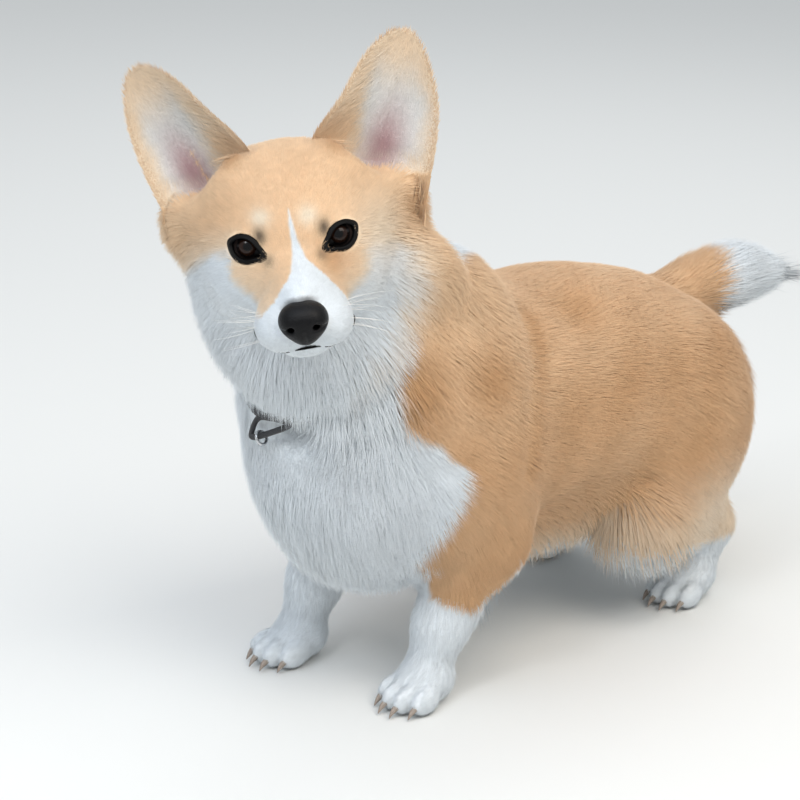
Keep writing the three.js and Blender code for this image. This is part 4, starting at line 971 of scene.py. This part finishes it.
# Ears: short hair up the back and round the rims, longer pale hair that sweeps up and outwards from the
# inner rim
roots, normals, draws = scatter(earSide != 0, 1.0 * (1), 200)
inner = inHead(roots)
side = np.where(inner[:, 1] > 0, 1, -1)
lie, length = np.zeros((len(roots), 3)), np.full(len(roots), 7.0)
width, height = np.full(len(roots), 0.55), np.full(len(roots), 1.1)
for s in (1, -1):
    up, across, before = earPlace(roots, s)
    mine = side == s
    ear = earFrames[s]
    inside = (before > 0) & (np.abs(across) < 0.9)
    sweep = np.where(inside, 0.7 * smooth(0.2, -0.9, across) - 0.4 * smooth(0.3, 0.9, across), 0.15 * across)
    lie[mine] = headWay(ear["axis"] + ear["outward"] * sweep[:, None])[mine]
    fringe = np.where(inside, smooth(-0.1, -0.8, across) * smooth(0.9, 0.5, up), 0)
    length[mine] = (5.5 + 10 * fringe + 4 * (inside & (up < 0.2)))[mine]
    height[mine] = (0.9 + 3.2 * fringe + 1.6 * inside * smooth(0.3, 0.6, up))[mine]
growTufts("coat_ears", roots, normals, lie, (length, width, height), earUnwrap, draws, short,
          {"size": 3, "pull": 0.25}, False)


# Eyes: one glossy ball each, its rings set round the line of sight, so that the iris is drawn by the
# angle from it
def makeEye(side):
    at, radius = eyeAt[side], eyes["radius"]
    gaze = unit(headWay(np.array(eyes["gaze"]) * (1, side, 1)))
    across = unit(np.cross(gaze, headWay((0, 0, 1))))
    upright = np.cross(across, gaze)
    rings, around = 40, 48
    angle = np.linspace(0, math.pi, rings + 1)[1:-1]
    bulge = 0.9 * smooth(math.radians(38), math.radians(20), angle)  # the cornea
    turn = np.arange(around) * 2 * math.pi / around
    ways = (np.cos(angle)[:, None, None] * gaze + np.sin(angle)[:, None, None]
            * (np.cos(turn)[:, None] * across + np.sin(turn)[:, None] * upright))
    points = at + ways * (radius - 0.5 + bulge)[:, None, None]
    poles = [at + gaze * (radius + 0.4), at - gaze * (radius - 0.5)]
    points = np.concatenate([points.reshape(-1, 3), poles])
    grid = np.arange((rings - 1) * around).reshape(rings - 1, around)
    shifted = np.roll(grid, -1, 1)
    first = np.stack([grid[:-1], grid[1:], shifted[1:]], -1).reshape(-1, 3)
    second = np.stack([grid[:-1], shifted[1:], shifted[:-1]], -1).reshape(-1, 3)
    top, bottom = len(points) - 2, len(points) - 1
    caps = [np.stack([np.full(around, top), grid[0], shifted[0]], -1),
            np.stack([np.full(around, bottom), shifted[-1], grid[-1]], -1)]
    faces = np.concatenate([first, second, *caps])
    eye = makeMesh("eyeball_left" if side > 0 else "eyeball_right", points, faces)
    fromGaze = np.concatenate([np.repeat(np.degrees(angle), around), [0, 180]])
    setShares(eye, {"fromGaze": fromGaze / 90})
    return eye


# Living eye: a clear wet coat over a dark brown iris with fine mottling, black pupil and a grey-brown white
def eyeMaterial():
    material, tree = newMaterial("wetEyeDarkBrownIris")
    away = readShare(tree, "fromGaze")
    iris = mixColour(tree, grain(tree, 1800, 3), hexColour("#120906"), hexColour("#2E1A10"))

    def between(low, high):
        return addNode(tree, "ShaderNodeMapRange", {"Value": away, "From Min": low, "From Max": high},
                       interpolation_type="SMOOTHSTEP").outputs[0]
    colour = mixColour(tree, between(0.14, 0.19), hexColour("#040303"), iris)
    colour = mixColour(tree, between(0.33, 0.4), colour, hexColour("#0B0808"))
    colour = mixColour(tree, between(0.46, 0.56), colour, hexColour("#2E2624"))
    finishMaterial(tree, {"Base Color": colour, "Roughness": 0.3, "Specular IOR Level": 0.05,
                          "Coat Weight": 0.8, "Coat Roughness": 0.02, "Coat IOR": 1.34})
    return material


# Bare black skin of lid rims, inner corners and lips, moist, with fine wrinkles about 0.5 mm apart
def rimMaterial():
    material, tree = newMaterial("moistBlackRimSkin")
    wrinkles = grain(tree, 2000)
    finishMaterial(tree, {"Base Color": mixColour(tree, wrinkles, hexColour("#040404"), hexColour("#0C0B0B")),
                          "Roughness": 0.5, "Specular IOR Level": 0.12,
                          "Normal": bumped(tree, wrinkles, 0.0002, 0.5)})
    return material


eyeLook, rimLook = eyeMaterial(), rimMaterial()


# Lids: a dark rim round each opening, from the ball out over the skin, drawn to a low inner corner
lids = {"halfLength": 9.3, "halfHeight": 6.9, "steps": 72}


def makeLids(side):
    at, radius = eyeAt[side], eyes["radius"] - 0.5
    way, across, upright = (headWay(axis) for axis in eyeAxes(side))
    turn = np.arange(lids["steps"]) * 2 * math.pi / lids["steps"]
    cosTurn, sinTurn = np.cos(turn), np.sin(turn)
    corner = 1 + 0.32 * smooth(0.7, 1, -cosTurn) + 0.06 * smooth(0.85, 1, cosTurn)
    a = lids["halfLength"] * cosTurn * corner
    b = lids["halfHeight"] * np.sign(sinTurn) * np.abs(sinTurn) ** 1.15 * np.where(sinTurn > 0, 1.0, 0.97)
    plan = a[:, None] * across + b[:, None] * upright

    def onBall(scale, rise):
        reach = np.linalg.norm(plan, axis=-1, keepdims=True) * scale
        angle = np.minimum(reach / radius * 1.12, 1.3)
        return at + (np.cos(angle) * way + np.sin(angle) * unit(plan)) * (radius + rise)
    sections = [onBall(1.12, -1.2), onBall(0.99, -0.3), onBall(0.98, 0.6)]
    for scale, rise in ((1.07, 0.9), (1.18, 0.7), (1.32, 0.45), (1.44, 0.25), (1.52, -1.5)):
        here = at + way * 9 + plan * scale
        for _ in range(4):
            value, normal = slope(here.astype(np.float32), hideValue)
            here = here + way * ((rise - value) / np.maximum(normal @ way, 0.4))[:, None]
        sections.append(here)
    sections.append(onBall(1.25, -1.8))
    faces = wrappedFaces(len(sections), lids["steps"])
    if side > 0:
        faces = faces[:, ::-1]
    return makeMesh("lids_left" if side > 0 else "lids_right", np.concatenate(sections), faces)


def makeInnerCorners():  # the dark third lid that fills the inner corner of each eye
    forms = []
    for s in (1, -1):
        way, outer, _ = eyeAxes(s)
        middle = np.array(eyes["at"]) * (1, s, 1) + way * 5
        forms.append(bone(middle - outer * 7.5, middle - outer * 12.5, 3.8, 3, 1))
    value = joined(forms)
    points, quads = surfaceNets(value, (-16, -50, -18), (20, 50, 18), 1)
    return makeMesh("inner_corners", onHead(points), quads)


finishPiece(makeInnerCorners(), rimLook)
for s in (1, -1):
    finishPiece(makeEye(s), eyeLook, ["eye_left" if s > 0 else "eye_right"])
    finishPiece(makeLids(s), rimLook)


# Nose leather with its nostrils, side slits and the groove below
def makeNose():
    cuts = [bone((84, 0, -37), (76, 0, -50), 0.9, 0.9, 1)]
    for s in (1, -1):
        cuts += [bone((88, 7.5 * s, -33.5), (74, 9 * s, -32.5), 2, 2.2, 1),
                 bone((85, 9 * s, -34), (72, 19 * s, -35), 1.7, 1.2, 1)]

    def value(inner):
        total = noseValue(inner)
        for distance, _ in cuts:
            total = -blended(-total, distance(inner), 1.6)
        return np.maximum(total, 56 - inner[:, 0])
    points, quads = surfaceNets(value, (54, -24, -52), (90, 24, -8), 0.9)
    return makeMesh("nose_pad", onHead(points), quads)


# Nose leather: black, damp, with a pebbled grain of about 0.8 mm, painted darker in the grooves between the
# pebbles as shade
def noseMaterial():
    material, tree = newMaterial("dampNoseLeather")
    place = addNode(tree, "ShaderNodeTexCoord").outputs["Object"]
    pebblesAndGrooveShade = addNode(tree, "ShaderNodeTexVoronoi", {"Vector": place, "Scale": 1200}, feature="F1").outputs[0]
    # painted shade: darker in the grooves between the pebbles
    finishMaterial(tree, {"Base Color": mixColour(tree, pebblesAndGrooveShade, hexColour("#0C0C0F"), hexColour("#050506")),
                          "Roughness": 0.4, "Specular IOR Level": 0.2,
                          "Normal": bumped(tree, pebblesAndGrooveShade, 0.0003, 0.6, True)})
    return material


finishPiece(makeNose(), noseMaterial(), ["nose_leather"])


def tube(paths):  # closed rods that taper, each a list of places and one of radii
    points, faces, sides = [], [], 8
    turn = np.arange(sides) * 2 * math.pi / sides
    for places, radii in paths:
        places = np.asarray(places, float)
        along = unit(np.gradient(places, axis=0))
        across = unit(np.cross(along, (0.13, 0.21, 1)))
        upright = np.cross(along, across)
        first = sum(len(part) for part in points)
        rings = places[:, None] + np.array(radii)[:, None, None] * (
            np.cos(turn)[:, None] * across[:, None] + np.sin(turn)[:, None] * upright[:, None])
        points += [rings.reshape(-1, 3), places[:1], places[-1:]]
        grid = first + np.arange(len(places) * sides).reshape(-1, sides)
        beside = np.roll(grid, -1, 1)
        faces.append(np.stack([grid[:-1], beside[:-1], beside[1:]], -1).reshape(-1, 3))
        faces.append(np.stack([grid[:-1], beside[1:], grid[1:]], -1).reshape(-1, 3))
        start, end = first + grid.size, first + grid.size + 1
        faces.append(np.stack([np.full(sides, start), beside[0], grid[0]], -1))
        faces.append(np.stack([np.full(sides, end), grid[-1], beside[-1]], -1))
    return np.concatenate(points), np.concatenate(faces)


def onCoat(places, rise):  # moved onto the coat's own height over the hide
    for _ in range(3):
        value, normal = slope(places.astype(np.float32), hideValue)
        places = places + normal * (rise - value)[:, None]
    return places


# Lips: the black edge shows under the nose and at the corners, elsewhere the upper lip's hair hangs over it
share = np.linspace(-1, 1, 25)
front = onHead(np.stack([66 - 4 * np.abs(share) ** 1.7, 0.5 + 9 * share, -52.5 + 1.8 * share ** 2], -1))
lipPaths = [(onCoat(front, 0.5), 0.3 + 0.9 * (1 - share ** 2))]
for s in (1, -1):
    share = np.linspace(0, 1, 13)
    corner = onHead(np.stack([46 - 3 * share, (31 + 1.5 * share) * s, -50 + 9 * share], -1))
    lipPaths.append((onCoat(corner, 0.9), 0.25 + 1.1 * np.sin(share * math.pi) ** 0.6))
    edge = onHead(np.stack([61 - 15 * share, (12 + 17 * share) * s, -53 - 1.5 * np.sin(share * math.pi)], -1))
    lipPaths.append((onCoat(edge, 0.5), 0.35 + 0.5 * share))
finishPiece(makeMesh("lips", *tube(lipPaths)), rimLook)


# Claws: grey horn, mottled pale and darker
def clawMaterial():
    material, tree = newMaterial("greyHornClaws")
    colour = mixColour(tree, grain(tree, 900), hexColour("#75685F"), hexColour("#B5A79A"))
    finishMaterial(tree, {"Base Color": colour, "Roughness": 0.38})
    return material


clawPaths = []
for leg in forelegs + hindLegs:
    for place in (-1.5, -0.5, 0.5, 1.5):
        footX, footY = leg["foot"]
        tip = footY - (26 if abs(place) < 1 else 18) - 11
        share = np.linspace(0, 1, 7)
        x = footX + 11.5 * place + 1.5 * leg["side"] + 0 * share
        claw = np.stack([x, tip - 8 * share, 10 - 2 * share - 4.5 * share ** 2], -1)
        clawPaths.append((claw, 2.1 * (1 - share ** 2) + 0.4))
finishPiece(makeMesh("claws", *tube(clawPaths)), clawMaterial())


def geometryTree(name, sizes):
    tree = bpy.data.node_groups.new(name, "GeometryNodeTree")
    tree.interface.new_socket("Geometry", in_out="INPUT", socket_type="NodeSocketGeometry")
    tree.interface.new_socket("Geometry", in_out="OUTPUT", socket_type="NodeSocketGeometry")
    for label in sizes:
        tree.interface.new_socket(label, in_out="INPUT", socket_type="NodeSocketFloat")
    return tree, tree.nodes.new("NodeGroupInput").outputs


def finishTree(tree, instances, material):
    solid = addNode(tree, "GeometryNodeRealizeInstances", {0: instances})
    painted = addNode(tree, "GeometryNodeSetMaterial", {"Geometry": solid.outputs[0], "Material": material})
    addNode(tree, "NodeGroupOutput", {"Geometry": painted.outputs[0]})


def growFrom(piece, tree, sizes):
    modifier = piece.modifiers.new(tree.name, "NODES")
    modifier.node_group = tree
    for item in tree.interface.items_tree:
        if item.in_out == "INPUT" and item.name in sizes:
            modifier[item.identifier] = sizes[item.name]
    mesh = bpy.data.meshes.new_from_object(piece.evaluated_get(bpy.context.evaluated_depsgraph_get()))
    piece.modifiers.clear()
    piece.data = mesh
    return piece


def wireMesh(name, points, edges=()):
    mesh = bpy.data.meshes.new(name)
    mesh.from_pydata(toFrame(points).tolist(), list(edges), [])
    piece = bpy.data.objects.new(name, mesh)
    bpy.context.scene.collection.objects.link(piece)
    return piece


# Whiskers: stiff white hair, thickened to 0.4 mm at the root so that the render shows it
def makeWhiskers(sizes):
    material, tree = newMaterial("stiffWhiskerHair")
    colour = mixColour(tree, grain(tree, 60), hexColour("#D8D4CE"), hexColour("#F2F0EC"))
    finishMaterial(tree, {"Base Color": colour, "Roughness": 0.4})
    draws = np.random.default_rng(7)
    roots, ways = [], []
    for s in (1, -1):
        for row in range(3):
            for column in range(4):
                at = (54 - 6 * column, (22 + 1.6 * column) * s, -34 - 4.5 * row)
                roots.append(np.array(at) + draws.normal(0, 0.8, 3))
                way = np.array([0.25 - 0.3 * column, 1.1 * s, 0.15 - 0.22 * row])
                ways.append(unit(way + draws.normal(0, 0.12, 3)))
    piece = wireMesh("whiskers", onCoat(onHead(np.array(roots)), 0))
    piece.data.attributes.new("lie", "FLOAT_VECTOR", "POINT").data.foreach_set(
        "vector", headWay(np.array(ways)).astype(np.float32).ravel())
    tree, given = geometryTree("whiskerRows", sizes)
    shape = {"Vertices": 6, "Side Segments": 10, "Radius Top": 0.00004, "Radius Bottom": given["thickness"],
             "Depth": given["length"]}
    cone = addNode(tree, "GeometryNodeMeshCone", shape)
    place = addNode(tree, "GeometryNodeInputPosition")
    height = addNode(tree, "ShaderNodeSeparateXYZ", {0: place.outputs[0]})
    share = addNode(tree, "ShaderNodeMath", {0: height.outputs[2], 1: given["length"]}, operation="DIVIDE")
    curve = addNode(tree, "ShaderNodeMath", {0: share.outputs[0], 1: 2}, operation="POWER")
    droop = addNode(tree, "ShaderNodeMath", {0: curve.outputs[0], 1: given["bend"]}, operation="MULTIPLY")
    offset = addNode(tree, "ShaderNodeCombineXYZ", {"X": droop.outputs[0]})
    bent = {"Geometry": cone.outputs[0], "Offset": offset.outputs[0]}
    bent = addNode(tree, "GeometryNodeSetPosition", bent)
    lie = addNode(tree, "GeometryNodeInputNamedAttribute", {"Name": "lie"}, data_type="FLOAT_VECTOR")
    aim = addNode(tree, "FunctionNodeAlignRotationToVector", {"Vector": lie.outputs[0]}, axis="Z")
    scale = addNode(tree, "FunctionNodeRandomValue", {2: 0.55, 3: 1.0, "Seed": 4})
    points = addNode(tree, "GeometryNodeMeshToPoints", {"Mesh": given["Geometry"]})
    placed = {"Points": points.outputs[0], "Instance": bent.outputs[0], "Rotation": aim.outputs[0],
              "Scale": scale.outputs[1]}
    rows = addNode(tree, "GeometryNodeInstanceOnPoints", placed)
    finishTree(tree, rows.outputs[0], material)
    finishPiece(growFrom(piece, tree, sizes), material)


makeWhiskers({"length": 0.034, "thickness": 0.0002, "bend": 0.006})
print("face done")


# Collar: webbing on the hide, raised to the top of the coat only beside its loop
def strapLine():
    way, middle = collarWay, collarMiddle
    turn = (np.arange(collar["steps"]) + 0.5) * 2 * math.pi / collar["steps"] + math.pi / 2
    heading = np.cos(turn)[:, None] * np.array([1, 0, 0]) + np.sin(turn)[:, None] * np.cross(way, (1, 0, 0))
    reach = np.arange(20, 150, 1.5)
    spots = (middle + heading[:, None] * reach[:, None]).reshape(-1, 3).astype(np.float32)
    value = hideValue(spots).reshape(len(turn), -1)
    first = (value > 0).argmax(1)
    radius = reach[first] - value[np.arange(len(turn)), first]
    for _ in range(30):
        radius = (np.roll(radius, 1) + radius * 2 + np.roll(radius, -1)) / 4
    line = middle + heading * radius[:, None]
    rise = -4 + 7 * np.exp(-(np.linalg.norm(line - loopAt, axis=-1) / 42) ** 2)
    return line + heading * rise[:, None], heading, way


# Nylon webbing: a herringbone weave with ribs of 1.4 mm, drawn a little coarse so that it shows; the ribs are
# painted lighter on their crests and darker in the troughs as light and shade
def webbingMaterial():
    material, tree = newMaterial("blackNylonWebbing")
    along, across = readShare(tree, "strapAlong"), readShare(tree, "strapAcross")
    lean = addNode(tree, "ShaderNodeMath", {0: across}, operation="ABSOLUTE")
    both = addNode(tree, "ShaderNodeMath", {0: along, 1: lean.outputs[0]}, operation="ADD")
    turns = addNode(tree, "ShaderNodeMath", {0: both.outputs[0], 1: 2 * math.pi / 1.4}, operation="MULTIPLY")
    ribs = addNode(tree, "ShaderNodeMath", {0: turns.outputs[0]}, operation="SINE")
    share = mapped(tree, ribs.outputs[0], 0, 1, -1)
    # painted light and shade: rib crests lighter, troughs darker
    finishMaterial(tree, {"Base Color": mixColour(tree, share, hexColour("#0E0E10"), hexColour("#2A2B2F")),
                          "Roughness": 0.6, "Sheen Weight": 0.2, "Normal": bumped(tree, share, 0.0003, 0.8)})
    return material


def setStrapShares(piece, path, section):  # millimetres along the webbing and across it, for its weave
    run = np.concatenate([[0], np.cumsum(np.linalg.norm(np.diff(path, axis=0), axis=-1))])
    across = np.tile([a for a, _ in section], len(path))
    setShares(piece, {"strapAlong": np.repeat(run, len(section)), "strapAcross": across})


def makeStrap():
    line, heading, way = strapLine()
    w, t = collar["width"] / 2, collar["thickness"]
    section = [(-w, 0.4), (0.3 - w, 0), (w - 0.3, 0), (w, 0.4), (w, t - 0.4), (w - 0.3, t), (0, t + 0.1),
               (0.3 - w, t), (-w, t - 0.4)]
    points = np.stack([line + way * a + heading * b for a, b in section], 1)
    strap = makeMesh("collar_webbing", points.reshape(-1, 3), wrappedFaces(*points.shape[:2])[:, ::-1], False)
    setStrapShares(strap, line, section)
    finishPiece(strap, webbingMaterial(), ["collar_strap"])


# Bonded thread, waxed and twisted, along both edges of the webbing
def makeStitches(sizes):
    material, tree = newMaterial("waxedBlackThread")
    colour = mixColour(tree, grain(tree, 1500), hexColour("#1E1F22"), hexColour("#4A4B50"))
    finishMaterial(tree, {"Base Color": colour, "Roughness": 0.5})
    line, heading, way = strapLine()
    count = len(line)
    rows = [line + heading * (collar["thickness"] + 0.05) + way * edge for edge in (2.9, -2.9)]
    edges = [(i + row * count, (i + 1) % count + row * count) for row in (0, 1) for i in range(count)]
    piece = wireMesh("collar_stitches", np.concatenate(rows), edges)
    tree, given = geometryTree("stitchRows", sizes)
    path = addNode(tree, "GeometryNodeMeshToCurve", {"Mesh": given["Geometry"]})
    spaced = {"Curve": path.outputs[0], "Length": given["spacing"]}
    points = addNode(tree, "GeometryNodeCurveToPoints", spaced, mode="LENGTH")
    shape = {"Vertices": 8, "Side Segments": 3, "Radius": given["thread"], "Depth": given["stitch"]}
    stitch = addNode(tree, "GeometryNodeMeshCylinder", shape)
    placed = {"Points": points.outputs["Points"], "Instance": stitch.outputs["Mesh"],
              "Rotation": points.outputs["Rotation"]}
    rows = addNode(tree, "GeometryNodeInstanceOnPoints", placed)
    finishTree(tree, rows.outputs[0], material)
    finishPiece(growFrom(piece, tree, sizes), material)


# Ring: bright plated steel, finely scuffed
def steelMaterial():
    material, tree = newMaterial("brightPlatedSteel")
    scuffs = grain(tree, 700, 4)
    finishMaterial(tree, {"Base Color": mixColour(tree, scuffs, hexColour("#B9BBBE"), hexColour("#DADCDD")),
                          "Metallic": 1, "Roughness": mapped(tree, scuffs, 0.14, 0.39),
                          "Normal": bumped(tree, scuffs, 0.0001, 0.3)})
    return material


# Loop: a rounded triangle of doubled webbing, its point towards the dog's left where it leaves the strap
loop = {"corners": ((14, -136, 230), (-31, -132, 225), (-34, -138, 206)), "width": 4.6, "thickness": 2.6}


def rounded(corners, rounds):  # cuts each corner in turn
    path = np.array(corners, float)
    for share in rounds:
        after = np.roll(path, -1, 0)
        cuts = [path + (after - path) * share, path + (after - path) * (1 - share)]
        path = np.stack(cuts, 1).reshape(-1, 3)
    return path


def sweep(name, path, facing, section):  # a closed band along a flat path
    along = unit(np.roll(path, -1, 0) - np.roll(path, 1, 0))
    outward = np.cross(along, facing)
    points = np.stack([path + outward * a + facing * b for a, b in section], 1)
    piece = makeMesh(name, points.reshape(-1, 3), wrappedFaces(*points.shape[:2]))
    setStrapShares(piece, path, section)
    return piece


def makeLoop():
    path = rounded(loop["corners"], (0.16, 0.22, 0.25, 0.25, 0.25))
    facing = unit(np.cross(path[20] - path[0], path[-20] - path[0]))
    facing = facing * -np.sign(facing[1])
    turn = np.arange(12) * math.pi / 6
    section = [(loop["width"] / 2 * np.sign(math.cos(a)) * abs(math.cos(a)) ** 0.6,
                loop["thickness"] / 2 * np.sign(math.sin(a)) * abs(math.sin(a)) ** 0.6) for a in turn]
    band = sweep("collar_triangle", path, facing, section)
    finishPiece(band, webbingMaterial(), ["collar_loop"])
    corner, end = np.array(loop["corners"][2], float), np.array(loop["corners"][0], float)
    hook = corner + (end - corner) * 0.27
    bar = unit(end - corner)
    upright = np.cross(facing, bar)
    ringTurn = np.arange(40) * math.pi / 20
    ring = hook - upright * 1.5 * np.sign(upright[2]) + 4.8 * (
        np.cos(ringTurn)[:, None] * facing + np.sin(ringTurn)[:, None] * upright)
    section = [(1.15 * math.cos(a), 1.15 * math.sin(a)) for a in turn]
    ring = sweep("collar_steel_ring", ring, bar, section)
    finishPiece(ring, steelMaterial(), ["collar_ring"])


makeStrap()
makeStitches({"spacing": 0.0036, "thread": 0.00035, "stitch": 0.0026})
makeLoop()
print("collar done")


# Floor, light and camera

def makeFloor():
    bm = bmesh.new()
    bmesh.ops.create_grid(bm, x_segments=1, y_segments=1, size=12)
    mesh = bpy.data.meshes.new("floor")
    bm.to_mesh(mesh)
    bm.free()
    floor = bpy.data.objects.new("floor", mesh)
    bpy.context.scene.collection.objects.link(floor)
    material, tree = newMaterial("matPaleStudioFloor")  # painted board, quite matt
    finishMaterial(tree, {"Base Color": hexColour("#E9EAE8"), "Roughness": 0.9, "Specular IOR Level": 0.2})
    mesh.materials.append(material)
    floor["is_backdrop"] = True


makeFloor()
view = {"azimuth": 43, "pitch": 18, "roll": 1.5, "distance": 1.85, "look": (-27, 15, 205), "lens": 108}


def softLight(name, azimuth, pitch, distance, size, power, colour):
    light = bpy.data.lights.new(name, "AREA")
    light.size, light.energy, light.color = size, power, hexColour(colour)[:3]
    lamp = bpy.data.objects.new(name, light)
    a, p = math.radians(azimuth), math.radians(pitch)
    way = Vector((math.sin(a) * math.cos(p), -math.cos(a) * math.cos(p), math.sin(p)))
    target = Vector((0, 0, 0.25))
    lamp.location = target + way * distance
    lamp.rotation_euler = way.to_track_quat("Z", "Y").to_euler()
    bpy.context.scene.collection.objects.link(lamp)


softLight("keyLight", 75, 52, 2.4, 1.6, 31, "#FFF6EA")
softLight("skyLight", 5, 58, 2.6, 2.0, 19, "#DDEBFF")
softLight("catchLight", 14, 38, 2.4, 0.45, 7, "#FFFFFF")
softLight("backLight", 215, 45, 2.6, 1.6, 10, "#FFFFFF")
bpy.context.scene.view_settings.view_transform = "Standard"
bpy.context.scene.cycles.debug_use_spatial_splits = True  # thin hair renders sooner, with the same picture
world = bpy.data.worlds.new("studio")
bpy.context.scene.world = world
world.use_nodes = True
world.node_tree.nodes["Background"].inputs[0].default_value = hexColour("#EEF2F6")
world.node_tree.nodes["Background"].inputs[1].default_value = 0.68


def makeCamera():
    camera = bpy.data.cameras.new("camera")
    camera.lens = view["lens"]
    body = bpy.data.objects.new("camera", camera)
    a, p, roll = (math.radians(view[key]) for key in ("azimuth", "pitch", "roll"))
    way = np.array([math.sin(a) * math.cos(p), -math.cos(a) * math.cos(p), math.sin(p)])
    right = unit(np.cross(-way, (0, 0, 1)))
    upward = np.cross(right, -way)
    turned = right * math.cos(roll) + upward * math.sin(roll)
    right, upward = turned, upward * math.cos(roll) - right * math.sin(roll)
    look = (np.array(view["look"]) + shift) * 0.001
    matrix = Matrix.Identity(4)
    for column, axis in enumerate((right, upward, way, look + way * view["distance"])):
        for row in range(3):
            matrix[row][column] = axis[row]
    body.matrix_world = matrix
    bpy.context.scene.collection.objects.link(body)
    bpy.context.scene.camera = body


makeCamera()
boxes = {"cad": cadBounds, "visual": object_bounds()}
{name: [list(corner) for corner in box] for name, box in boxes.items()}
